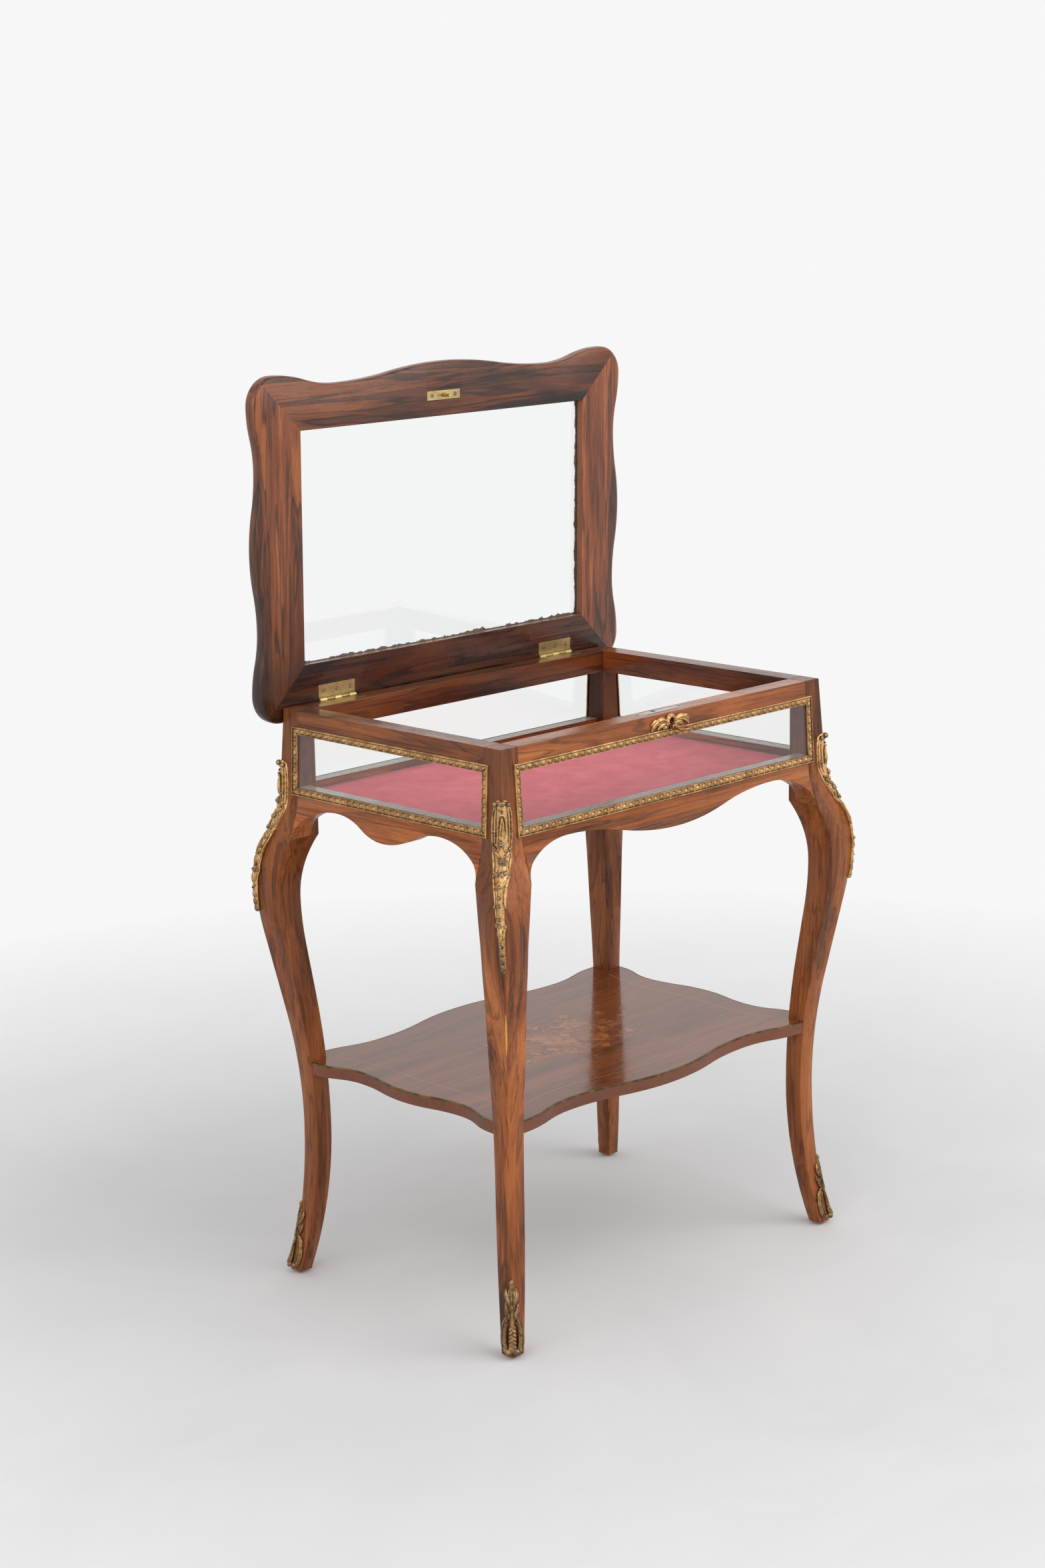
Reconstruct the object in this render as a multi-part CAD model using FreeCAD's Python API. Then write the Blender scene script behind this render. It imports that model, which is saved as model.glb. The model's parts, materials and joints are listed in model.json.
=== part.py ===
"""Display table: a glazed case with a hinged glass lid, on cabriole legs joined by a shelf."""
import FreeCAD, Part
import math
import os
from FreeCAD import Vector

os.makedirs("parts", exist_ok=True)

# Driving dimensions in millimetres. X runs along the front, -Y is the front, Z is up from the floor.
case_width = 588.0          # across the corner posts at the rim
case_depth = 392.0          # front to back across the posts at the rim
rim_height = 760.0          # floor to the top of the case
side_lean = 6.0             # how far each side leans out between the rim and the foot of its brass frame
post_size = 28.0            # corner post at the rim, square
fit = 0.1                   # clearance round tenons, panels, let-in plates and pins

# Cabriole leg: outward bow and thickness, measured on each of its two faces
foot_out = 13.0
foot_size = 20.0
ankle_height = 205.0
ankle_out = -4.6
ankle_size = 25.5
shin_radius = 960.0         # hollow of the shin
knee_drop = 117.0           # knee below the brass frame
knee_out = 31.2
knee_radius = 400.0         # lower half of the knee
knee_top_radius = 170.0
hip_radius = 80.0           # where the knee turns up into the post
hock_drop = 137.0           # bend of the inner face below the brass frame
hock_in = 9.5
hock_radius = 600.0
calf_radius = 1700.0
crotch_drop = 56.0          # foot of the straight inner face, where the arch of the apron ends
glide_radius = 8.5
glide_thickness = 3.0

# Brass frames and the panes that they hold
frame_drop = 20.0           # rim to the brass frame
frame_height = 88.0
frame_inset = 19.0          # case corner to the brass frame
strip_width = 10.0
strip_thickness = 3.0
strip_flat = 3.0            # flat outer fillet of the strip, before its hollow
strip_lip = 1.2             # thickness of the strip at its inner edge
strip_hollow = 0.5          # depth of the hollow in the strip's face
glass_lap = 5.0             # glass edge behind the strip
glass_thickness = 3.0

# Rails, aprons and floor of the case
rail_height = 30.0
tenon_length = 8.0
tenon_thickness = 8.0
tenon_height = 18.0
ledge_rise = 10.0           # top of the apron above the foot of the brass frame
apron_thickness = 16.0      # behind the line of the rim
apron_drop = 35.0           # middle lobe below the brass frame
arch_drop = 12.0
arch_inset = 103.0          # corner to the crown of the side arch
haunch_radius = 30.0        # small end of the arch, where it turns down the leg
floor_thickness = 6.0
floor_drop = 1.0            # top of the floor below the foot of the brass frame
floor_groove = 5.0
velvet_thickness = 1.5
velvet_gap = 0.4

# Shelf between the legs
shelf_height = 295.0        # top of the shelf
shelf_thickness = 16.0
shelf_short = 7.0           # side lobe inside the line of the posts
shelf_over = 4.0            # front and back lobes outside it
shelf_dip = 23.0            # depth of the hollows in the long edges
shelf_side_dip = 12.0
shelf_hollow = 165.0        # middle to the deepest part of a long edge
shelf_side_hollow = 92.0
shelf_flush = 2.0           # shelf inside the corner posts' outer lines where it meets the legs
shelf_arm = 30.0            # corner to where the edge straightens towards the leg
band_width = 2.4            # brass let into a bevel of the shelf's upper edge
dowel_radius = 4.0
dowel_length = 34.0

# Lid
lid_side_over = 35.5        # lobes of the lid outside the posts, at the sides
lid_front_over = 23.5       # and at the front and back
lid_thickness = 19.0
lid_bevel = 5.0
lid_gap = 0.4               # lid above the rim when closed
lid_dip = 15.5              # depth of the hollows in the long edges
lid_side_dip = 10.0
lid_hollow = 190.0          # middle to the deepest part of a long edge
lid_side_hollow = 103.0
lid_corner_radius = 36.0
lid_stile_width = 75.5      # lobe to the opening
lid_rail_width = 70.5
lid_rebate = 6.0
lid_rebate_depth = 9.0
lid_glass_thickness = 3.0
lid_putty_lap = 2.0         # putty past the edge of the opening
lid_putty_drop = 1.0        # putty below the top of the lid
lid_open_angle = 88.5

# Hinges and countersunk screws
hinge_length = 62.0
hinge_spread = 402.0        # between the middles of the two hinges
leaf_width = 20.0
leaf_thickness = 1.6
barrel_radius = 3.4
pin_radius = 1.5
pin_proud = 2.5             # hinge pin behind the back of the case
knuckle_count = 5
knuckle_gap = 0.3
barrel_room = 0.5
screw_head_radius = 3.0
screw_shank_radius = 1.4
screw_length = 11.0
screw_margin = 9.0          # end of a plate to its screw

# Lock, key and strike
lock_width = 56.0
lock_depth = 16.5
lock_height = 23.5
lock_wall = 1.2
lock_inset = 9.5            # front of the rim to the lock
selvedge_length = 85.0
selvedge_width = 14.0
selvedge_thickness = 1.5
stud_x = -8.0
stud_inset = 20.0           # front of the rim to the middle of the stud
stud_radius = 2.5
stud_length = 12.0
stud_neck_radius = 1.5
stud_neck_height = 2.6
stud_head_height = 2.0
lock_play = 0.5             # room between the moving pieces of the lock
strike_length = 59.0
strike_width = 12.0
strike_thickness = 1.5
key_drop = 17.0             # key below the rim
key_radius = 2.2
key_ball_radius = 4.5
key_bow_width = 20.0
key_bow_length = 23.0
key_bow_band = 2.4          # width and thickness of the bow's metal
key_proud = 9.2             # middle of the ball in front of the rim
key_bit_length = 6.0
key_bit_width = 5.0
key_bit_thickness = 2.0
keyhole_room = 1.0
bolt_plate = 1.7
bolt_travel = 6.0
talon_side = 4.0            # face of the talon that the key pushes
talon_width = 4.0
talon_height = 2.6
escutcheon_reach = 39.0     # key to the tip of a leaf
escutcheon_half = 7.0
escutcheon_rise = 12.5      # key to the top of a leaf
escutcheon_margin = 0.5     # foot of the shell above the brass frame
escutcheon_thickness = 3.0

# Gilt mounts on the knees and feet
chute_rise = 45.0           # top roll above the foot of the brass frame, at the front left corner
chute_drops = {             # how much lower each mount was set, by eye
    "front_left": 0.0,
    "front_right": 14.0,
    "back_left": 7.0,
    "back_right": 7.0,
}
chute_wing = 18.5           # along each face of the leg
chute_proud = 7.0
chute_roll = 4.6
chute_length = 162.0        # top roll to the end of the leaf
husk_count = 4
husk_length = 10.0
husk_wing = 6.5
husk_taper = 0.88           # each husk against the one above
husk_neck = 0.4             # neck of a husk against its widest part
husk_neck_drop = 0.15       # place of the neck and of the widest part down the husk
husk_swell_drop = 0.75
sabot_height = 98.0
sabot_lift = 4.0            # toe above the pad under the foot
sabot_wing = 17.5
sabot_proud = 4.4
sabot_toe = 7.5
sabot_toe_radius = 4.6
sabot_loop_height = 26.0
sabot_loop_rise = 31.0      # floor to the middle of a loop
sabot_loop_width = 4.4
sabot_rib = 5.5             # middle rib to the middle of a loop, seen square to the corner

# Heights and lines that the pieces share
frame_top = rim_height - frame_drop
frame_bottom = frame_top - frame_height
lean_rate = side_lean / (rim_height - frame_bottom)
lean_angle = math.degrees(math.atan(lean_rate))
lean_length = math.cos(math.radians(lean_angle))
rail_bottom = rim_height - rail_height
ledge_height = frame_bottom + ledge_rise
floor_top = frame_bottom - floor_drop
half_width = case_width / 2
half_depth = case_depth / 2
shelf_width = case_width - 2 * shelf_short
shelf_depth = case_depth + 2 * shelf_over
lid_width = case_width + 2 * lid_side_over
lid_depth = case_depth + 2 * lid_front_over
lid_opening_width = lid_width - 2 * lid_stile_width
lid_opening_depth = lid_depth - 2 * lid_rail_width
lid_base = rim_height + lid_gap
pin_y = half_depth + pin_proud
pin_z = rim_height + lid_gap / 2
key_z = rim_height - key_drop
origin = Vector(0, 0, 0)
along_x = Vector(1, 0, 0)
along_y = Vector(0, 1, 0)
along_z = Vector(0, 0, 1)
outward = Vector(1, 1, 0).normalize()
across = Vector(1, -1, 0).normalize()

# Each side of the case: turn about Z from the front, centre to its face, centre to the faces beside it
sides = {
    "front": (0, half_depth, half_width),
    "right": (90, half_width, half_depth),
    "back": (180, half_depth, half_width),
    "left": (-90, half_width, half_depth),
}
corners = {
    "front_left": (-1, -1),
    "front_right": (1, -1),
    "back_left": (-1, 1),
    "back_right": (1, 1),
}


def save(name, shape):
    shape.exportStep(f"parts/{name}.step")


def box(low, high):
    size = high - low
    return Part.makeBox(size.x, size.y, size.z, low)


def prism(points, direction):
    return Part.Face(Part.makePolygon(points + points[:1])).extrude(direction)


def tangent_arc(start, heading, end):
    """Arc that leaves a point in a given direction and ends at another point."""
    chord = end - start
    across_chord = heading - chord * (heading.dot(chord) / chord.dot(chord))
    half_turn = heading.getAngle(chord) / 2
    rise = chord.Length / 2 * math.tan(half_turn)
    middle = (start + end) * 0.5 + across_chord.normalize() * rise
    return Part.Arc(start, middle, end).toShape()


def ogee(start, heading, end):
    """Two arcs between points where the curve runs the same way."""
    middle = (start + end) * 0.5
    return [tangent_arc(start, heading, middle), tangent_arc(end, heading * -1, middle)]


def sway(low, high, low_radius, high_radius):
    """Arc, straight and arc up the XZ plane between two points where the curve is upright."""
    step = high - low
    out = abs(step.x)
    reach = low_radius + high_radius
    ease = min(1.0, 0.95 * (out ** 2 + step.z ** 2) / (2 * out * reach))
    reach *= ease
    angle = math.asin(reach / math.hypot(step.z, reach - out)) - math.atan2(reach - out, step.z)
    turn = Vector(math.copysign(1 - math.cos(angle), step.x), 0, math.sin(angle)) * ease
    first = low + turn * low_radius
    second = high - turn * high_radius
    return [
        tangent_arc(low, along_z, first),
        Part.makeLine(first, second),
        tangent_arc(high, along_z * -1, second),
    ]


def eight_sided(stations):
    """Eight-sided turning about Z through (radius, height) stations, for what is small and repeats."""
    turns = [math.radians(45 * number + 22.5) for number in range(9)]
    rings = [
        [Vector(radius * math.cos(turn), radius * math.sin(turn), height) for turn in turns]
        for radius, height in stations
    ]
    loops = [rings[0], rings[-1]]
    for low, high in zip(rings, rings[1:]):
        for number in range(8):
            low_edge = low[number:number + 2]
            high_edge = high[number:number + 2]
            loops.append(low_edge + high_edge[::-1] + low_edge[:1])
    solid = Part.Solid(Part.Shell([Part.Face(Part.makePolygon(loop)) for loop in loops]))
    if solid.Volume < 0:
        solid.reverse()
    return solid


def rod(radius, length, start, direction):
    shape = eight_sided([(radius, 0), (radius, length)])
    shape.Placement = FreeCAD.Placement(start, FreeCAD.Rotation(along_z, direction))
    return shape


def fused(shapes):
    return shapes[0].multiFuse(shapes[1:]).removeSplitter()


def largest(shape):
    return max(shape.Solids, key=lambda solid: solid.Volume)


def turned(shape, angle, axis=along_z, centre=origin):
    return shape.rotated(centre, axis, angle)


def to_corner(shape, signs):
    """Copy of a piece of the back right corner, mirrored to another corner."""
    for sign, axis in zip(signs, (along_x, along_y)):
        if sign < 0:
            shape = shape.mirror(origin, axis)
    return shape


def leaned(shape, reach):
    """Puts a piece drawn upright, with the rim line on X and its face on y = 0, on a leaning side."""
    return turned(shape, -lean_angle, along_x).translated(Vector(0, -reach, rim_height))


def on_side(shape, side):
    return turned(shape, sides[side][0])


def down_face(height):
    """Place of a height on a leaning face, measured from the rim."""
    return (height - rim_height) / lean_length


# Legs: each is sawn to the same outline on two faces and runs up as the corner post
knee_height = frame_bottom - knee_drop


def outer_edges(reach):
    foot = Vector(reach + foot_out, 0, glide_thickness)
    ankle = Vector(reach + ankle_out, 0, ankle_height)
    knee = Vector(reach + knee_out, 0, knee_height)
    brow = Vector(reach + side_lean, 0, frame_bottom)
    rim = Vector(reach, 0, rim_height)
    edges = [tangent_arc(ankle, along_z * -1, foot)]
    edges += sway(ankle, knee, shin_radius, knee_radius)
    edges += sway(knee, brow, knee_top_radius, hip_radius)
    return edges + [Part.makeLine(brow, rim)]


def leg_outline(reach):
    foot = Vector(reach + foot_out - foot_size, 0, glide_thickness)
    ankle = Vector(reach + ankle_out - ankle_size, 0, ankle_height)
    hock = Vector(reach - hock_in, 0, frame_bottom - hock_drop)
    crotch = Vector(reach - post_size, 0, frame_bottom - crotch_drop)
    rim = Vector(reach - post_size, 0, rim_height)
    edges = outer_edges(reach) + [tangent_arc(ankle, along_z * -1, foot)]
    edges += sway(ankle, hock, calf_radius, hock_radius)
    edges += [tangent_arc(hock, along_z, crotch), Part.makeLine(crotch, rim)]
    edges.append(Part.makeLine(rim, Vector(reach, 0, rim_height)))
    edges.append(Part.makeLine(foot, Vector(reach + foot_out, 0, glide_thickness)))
    return Part.Face(Part.Wire(Part.__sortEdges__(edges)))


sawn_across = leg_outline(half_width).extrude(Vector(0, case_depth, 0))
sawn_along = turned(leg_outline(half_depth), 90).extrude(Vector(case_width, 0, 0))
leg_blank = largest(sawn_across.common(sawn_along))
leg_face = Part.Wire(outer_edges(0))


def bow_at(height):
    """Outward bow of the leg's outer faces at a height."""
    level = Part.makeLine(Vector(-post_size, 0, height), Vector(2 * knee_out, 0, height))
    return leg_face.distToShape(level)[1][0][0].x


def arris(height, proud=0.0):
    """Point on the leg's outer corner, or in front of it."""
    bow = bow_at(height) + proud
    return Vector(half_width + bow, half_depth + bow, height)


# Gilt mounts: castings that wrap the outer corner of a leg, cut to an outline seen square to that corner
def wrapped(stations, proud):
    """Casting of one thickness round the corner; stations are (height, width along each face)."""
    shell = leg_blank.translated(Vector(proud, proud, 0)).cut(leg_blank)
    right = [across * (wing / math.sqrt(2)) + along_z * height for height, wing in stations]
    left = [Vector(-point.x, -point.y, point.z) for point in reversed(right)]
    start = Vector(half_width - post_size, half_depth - post_size, 0)
    outline = prism([start + point for point in right + left], outward * (4 * post_size))
    return largest(shell.common(outline))


def roll(centre, radius, length):
    return rod(radius, length, centre - across * (length / 2), across)


# Knee mount: a rolled top, a scalloped cartouche, a tapering leaf and a pendant of husks
chute_shape = [
    (0.0, 0.87),
    (0.12, 1.0),
    (0.33, 1.0),
    (0.42, 0.8),
    (0.5, 0.92),
    (0.62, 0.48),
    (0.7, 0.56),
    (1.0, 0.36),
]


def knee_mount(drop):
    top = frame_bottom + chute_rise - drop
    stations = [(top - share * chute_length, wing * chute_wing) for share, wing in chute_shape]
    husk_top = top - chute_length
    for number in range(husk_count):
        size = husk_taper ** number
        tall = size * husk_length
        stations.append((husk_top - husk_neck_drop * tall, husk_neck * size * husk_wing))
        stations.append((husk_top - husk_swell_drop * tall, size * husk_wing))
        husk_top -= tall
    roll_bar = roll(arris(top, chute_proud / 2), chute_roll, chute_wing)
    return largest(fused([wrapped(stations, chute_proud), roll_bar]).cut(leg_blank))


# Sabot: a pointed stem leaf, two open side loops round a rib, and a rolled toe
sabot_shape = [
    (1.0, 0.12),
    (0.88, 0.56),
    (0.79, 0.4),
    (0.64, 0.52),
    (0.5, 0.85),
    (0.34, 1.0),
    (0.18, 1.0),
    (0.02, 0.7),
]
sabot_low = glide_thickness + sabot_lift
sabot_span = sabot_height - sabot_low
sabot_stations = [(sabot_low + share * sabot_span, wing * sabot_wing) for share, wing in sabot_shape]
toe_height = sabot_low + sabot_toe_radius
toe = roll(arris(toe_height, sabot_toe - sabot_toe_radius / 2), sabot_toe_radius, sabot_wing)
loop_shape = [(0, 0.5), (0.5, 0), (0, -0.5), (-0.5, 0)]
loop_middle = arris(sabot_loop_rise, -post_size / 2)
loop_holes = []
for side in (-1, 1):
    centre = loop_middle + across * (side * sabot_rib)
    loop = [
        centre + across * (share * sabot_loop_width) + along_z * (rise * sabot_loop_height)
        for share, rise in loop_shape
    ]
    loop_holes.append(prism(loop, outward * (2 * post_size)))
sabot = largest(fused([wrapped(sabot_stations, sabot_proud), toe]).cut(loop_holes + [leg_blank]))

# Panes, and the rebates that they sit in
def pane_box(half_span, room):
    half = half_span - frame_inset - strip_width + glass_lap + room
    top = down_face(frame_top) - strip_width + glass_lap + room
    foot = down_face(frame_bottom) + strip_width - glass_lap - room
    return box(Vector(-half, 0, foot), Vector(half, glass_thickness, top))


def rebate_box(half_span):
    pocket = pane_box(half_span, fit)
    return pocket.fuse(pocket.translated(Vector(0, -glass_thickness, 0))).removeSplitter()


rebates = []
for side, (_, reach, half_span) in sides.items():
    rebates.append(on_side(leaned(rebate_box(half_span), reach), side))
    save(f"pane_{side}", on_side(leaned(pane_box(half_span, 0), reach), side))


# Brass frames: four mitred strips with a hollow face
def strip(length_half, edge):
    """Strip along X with its outer edge at a height, mitred at both ends, face towards -Y."""
    bend_depth = (strip_thickness + strip_lip) / 2 - strip_hollow
    bend = Vector(0, -bend_depth, edge - (strip_flat + strip_width) / 2)
    shoulder = Vector(0, -strip_thickness, edge - strip_flat)
    crest = Vector(0, -strip_thickness, edge)
    lip = Vector(0, -strip_lip, edge - strip_width)
    rear = [lip, Vector(0, 0, edge - strip_width), Vector(0, 0, edge), crest, shoulder]
    face = Part.Arc(shoulder, bend, lip).toShape()
    section = Part.Face(Part.Wire([face] + Part.makePolygon(rear).Edges))
    bar = section.translated(Vector(-length_half, 0, 0)).extrude(Vector(2 * length_half, 0, 0))
    short = length_half - strip_width
    mitre = [
        Vector(-length_half, 0, edge),
        Vector(length_half, 0, edge),
        Vector(short, 0, edge - strip_width),
        Vector(-short, 0, edge - strip_width),
    ]
    return bar.common(prism(mitre, Vector(0, -strip_thickness, 0)))


for side, (_, reach, half_span) in sides.items():
    half = half_span - frame_inset
    tall = (down_face(frame_top) - down_face(frame_bottom)) / 2
    middle = Vector(0, 0, (down_face(frame_top) + down_face(frame_bottom)) / 2)
    strips = []
    for angle, length_half, edge in ((0, half, tall), (90, tall, half), (180, half, tall), (270, tall, half)):
        strips.append(turned(strip(length_half, edge), angle, along_y).translated(middle))
    save(f"glazing_frame_{side}", on_side(leaned(Part.makeCompound(strips), reach), side))


# Rails and aprons, tenoned into the posts
def tenons(reach, half_span, inset, middle, room):
    """Tenons at both ends; inset is from the line of the rim to their middle."""
    shoulder = half_span - post_size
    half_thick = tenon_thickness / 2 + room
    half_tall = tenon_height / 2 + room
    pair = []
    for end in (-1, 1):
        near, far = sorted((end * shoulder, end * (shoulder + tenon_length + room)))
        low = Vector(near, inset - reach - half_thick, middle - half_tall)
        high = Vector(far, inset - reach + half_thick, middle + half_tall)
        pair.append(box(low, high))
    return pair


def rail_body(reach, half_span):
    shoulder = half_span - post_size
    section = [
        Vector(-shoulder, -reach, rim_height),
        Vector(-shoulder, -reach - lean_rate * rail_height, rail_bottom),
        Vector(-shoulder, -reach + post_size, rail_bottom),
        Vector(-shoulder, -reach + post_size, rim_height),
    ]
    return prism(section, Vector(2 * shoulder, 0, 0))


def haunch(crown, heading, end):
    """Wide arc out of the crown of an arch, and a small one that ends straight down."""
    run = abs(end.x - crown.x) - haunch_radius
    fall = crown.z - end.z
    wide_radius = (run ** 2 + fall ** 2 - haunch_radius ** 2) / (2 * (fall - haunch_radius))
    wide_centre = crown - along_z * wide_radius
    small_centre = end - heading * haunch_radius
    meeting = small_centre + (small_centre - wide_centre).normalize() * haunch_radius
    return [tangent_arc(crown, heading, meeting), tangent_arc(end, along_z, meeting)]


def apron_body(reach, half_span):
    """Apron that carries on the line of the legs, with a middle lobe between two arches below."""
    shoulder = half_span - post_size
    lobe = Vector(0, 0, frame_bottom - apron_drop)
    corner = Vector(shoulder, 0, ledge_height)
    edges = [Part.makeLine(Vector(-corner.x, 0, corner.z), corner)]
    for side in (-1, 1):
        heading = along_x * side
        arch = Vector(side * (half_span - arch_inset), 0, frame_bottom - arch_drop)
        foot = Vector(side * shoulder, 0, frame_bottom - crotch_drop)
        edges += ogee(lobe, heading, arch) + haunch(arch, heading, foot)
        edges.append(Part.makeLine(foot, Vector(side * shoulder, 0, ledge_height)))
    elevation = Part.Face(Part.Wire(Part.__sortEdges__(edges))).extrude(Vector(0, -2 * reach, 0))
    bowed = turned(leg_outline(reach), -90).translated(Vector(-shoulder, 0, 0))
    behind = box(Vector(-shoulder, apron_thickness - reach, 0), Vector(shoulder, 0, rim_height))
    return largest(bowed.extrude(Vector(2 * shoulder, 0, 0)).common(elevation).cut(behind))


def floor_slab(edge, post_room, low, high):
    """Flat piece inside the aprons, notched round the posts; edge is its distance from the rim line."""
    far = Vector(half_width - edge, half_depth - edge, 0)
    slab = box(along_z * low - far, along_z * high + far)
    clear = post_size + post_room
    post = box(Vector(half_width - clear, half_depth - clear, low), Vector(half_width, half_depth, high))
    return slab.cut([to_corner(post, signs) for signs in corners.values()])


floor_low = floor_top - floor_thickness
floor_edge = apron_thickness - floor_groove
groove = floor_slab(floor_edge - fit, 0, floor_low - fit, floor_top + fit)
save("floor_panel", floor_slab(floor_edge, fit, floor_low, floor_top))
velvet_edge = apron_thickness + velvet_gap
save("velvet_lining", floor_slab(velvet_edge, velvet_gap, floor_top, floor_top + velvet_thickness))

rail_tenon = (post_size / 2, rim_height - rail_height / 2)
apron_tenon = (apron_thickness / 2, frame_bottom - crotch_drop + tenon_height)
mortises = []
rails = {}
for side, (_, reach, half_span) in sides.items():
    for inset, middle in (rail_tenon, apron_tenon):
        mortises += [on_side(tenon, side) for tenon in tenons(reach, half_span, inset, middle, fit)]
    rail = fused([rail_body(reach, half_span)] + tenons(reach, half_span, *rail_tenon, 0))
    rails[side] = on_side(rail, side).cut(rebates)
    apron = fused([apron_body(reach, half_span)] + tenons(reach, half_span, *apron_tenon, 0))
    save(f"apron_{side}", largest(on_side(apron, side).cut(rebates + [groove])))


# Shelf: a serpentine board notched round the legs, with a brass band let into its upper edge
shelf_low = shelf_height - shelf_thickness


def shelf_outline():
    """Outline of the shelf before it is notched round the legs."""
    w = shelf_width / 2
    d = shelf_depth / 2
    end_x = half_width - shelf_flush
    end_y = half_depth - shelf_flush
    edges = []
    for side_x, side_y in corners.values():
        across_way = along_x * side_x
        back_way = along_y * side_y
        lobe = Vector(0, side_y * d, 0)
        hollow = Vector(side_x * shelf_hollow, side_y * (d - shelf_dip), 0)
        arm = Vector(side_x * (half_width - shelf_arm), side_y * end_y, 0)
        turn = Vector(side_x * end_x, side_y * end_y, 0)
        side_arm = Vector(side_x * end_x, side_y * (half_depth - shelf_arm), 0)
        side_hollow = Vector(side_x * (w - shelf_side_dip), side_y * shelf_side_hollow, 0)
        side_lobe = Vector(side_x * w, 0, 0)
        edges += ogee(lobe, across_way, hollow) + ogee(hollow, across_way, arm)
        edges += [Part.makeLine(arm, turn), Part.makeLine(turn, side_arm)]
        edges += ogee(side_lobe, back_way, side_hollow) + ogee(side_hollow, back_way, side_arm)
    return Part.Face(Part.Wire(Part.__sortEdges__(edges)))


legs_all = [to_corner(leg_blank, signs) for signs in corners.values()]
dowel_start = Vector(half_width, half_depth, shelf_low + shelf_thickness / 2)
dowel_start += outward * (math.sqrt(2) * (bow_at(shelf_height) - ankle_size) - dowel_length / 2)
dowel = rod(dowel_radius, dowel_length, dowel_start, outward)
dowels = [to_corner(dowel, signs) for signs in corners.values()]
save("shelf_dowels", Part.makeCompound(dowels))

board = shelf_outline().extrude(Vector(0, 0, shelf_thickness)).translated(Vector(0, 0, shelf_low))
upper_edges = [edge for edge in board.Edges if edge.BoundBox.ZMin > shelf_height - fit]
bevelled = board.makeChamfer(band_width, upper_edges)
save("shelf", largest(bevelled.cut(legs_all + dowels)))
save("shelf_edge_band", board.cut([bevelled] + legs_all))

# Legs, with their mortises, and what stands on or is fixed to them
foot_middle = bow_at(glide_thickness) - foot_size / 2
foot_place = Vector(half_width + foot_middle, half_depth + foot_middle, 0)
glide = rod(glide_radius, glide_thickness, foot_place, along_z)
for name, signs in corners.items():
    leg = to_corner(leg_blank, signs)
    save(f"leg_{name}", largest(leg.cut(mortises + rebates + [to_corner(dowel, signs)])))
mounts = [to_corner(knee_mount(chute_drops[name]), signs) for name, signs in corners.items()]
save("knee_mounts", Part.makeCompound(mounts))
for name, piece in (("foot_glides", glide), ("sabots", sabot)):
    save(name, Part.makeCompound([to_corner(piece, signs) for signs in corners.values()]))


# Countersunk screws, head up at the point given, or head down
def screws_at(points, upward=False):
    screw = eight_sided([
        (screw_head_radius, 0),
        (screw_shank_radius, -leaf_thickness),
        (screw_shank_radius, -screw_length),
    ])
    if upward:
        screw = turned(screw, 180, along_x)
    return [screw.translated(point) for point in points]


# Lid, drawn closed and then swung open about the hinge pins
def open_lid(shape):
    return turned(shape, -lid_open_angle, along_x, Vector(0, pin_y, pin_z))


def lid_outline():
    w = lid_width / 2
    d = lid_depth / 2
    edges = []
    for side_x, side_y in corners.values():
        across_way = along_x * side_x
        back_way = along_y * side_y
        lobe = Vector(0, side_y * d, 0)
        hollow = Vector(side_x * lid_hollow, side_y * (d - lid_dip), 0)
        ear = Vector(side_x * (w - lid_corner_radius), side_y * d, 0)
        side_ear = Vector(side_x * w, side_y * (d - lid_corner_radius), 0)
        side_hollow = Vector(side_x * (w - lid_side_dip), side_y * lid_side_hollow, 0)
        side_lobe = Vector(side_x * w, 0, 0)
        edges += ogee(lobe, across_way, hollow) + ogee(hollow, across_way, ear)
        edges.append(tangent_arc(ear, across_way, side_ear))
        edges += ogee(side_lobe, back_way, side_hollow) + ogee(side_hollow, back_way, side_ear)
    return Part.Face(Part.Wire(Part.__sortEdges__(edges)))


def lid_block(grow, low, high):
    """Rectangle round the lid opening, grown by a margin."""
    corner = Vector(lid_opening_width / 2 + grow, lid_opening_depth / 2 + grow, 0)
    return box(Vector(-corner.x, -corner.y, low), Vector(corner.x, corner.y, high))


lid_top = lid_base + lid_thickness
rebate_floor = lid_top - lid_rebate_depth
glass_top = rebate_floor + lid_glass_thickness
lid_board = lid_outline().extrude(Vector(0, 0, lid_thickness)).translated(Vector(0, 0, lid_base))
rim_edges = [edge for edge in lid_board.Edges if edge.BoundBox.ZLength < fit]
lid_board = lid_board.makeChamfer(lid_bevel, rim_edges)
lid_board = lid_board.cut([lid_block(0, lid_base, lid_top), lid_block(lid_rebate, rebate_floor, lid_top)])

# Hinge leaves with alternating knuckles on one pin
knuckle_length = hinge_length / knuckle_count
pin_bore = (pin_radius + fit) / math.cos(math.radians(22.5))
leaf_inner = pin_y - leaf_width
leaf_outer = pin_y - barrel_radius - barrel_room


def hinge_leaf(middle, low, high, own):
    """Leaf between two heights, with the knuckles that are its own."""
    start = middle - hinge_length / 2
    pieces = [box(Vector(start, leaf_inner, low), Vector(start + hinge_length, leaf_outer, high))]
    for number in own:
        near = start + number * knuckle_length + knuckle_gap / 2
        far = near + knuckle_length - knuckle_gap
        pieces.append(box(Vector(near, leaf_outer, low), Vector(far, pin_y, high)))
        pieces.append(rod(barrel_radius, far - near, Vector(near, pin_y, pin_z), along_x))
    return fused(pieces)


def hinge_pin(middle, radius):
    start = middle - (hinge_length - knuckle_gap) / 2
    return rod(radius, hinge_length - knuckle_gap, Vector(start, pin_y, pin_z), along_x)


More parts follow.
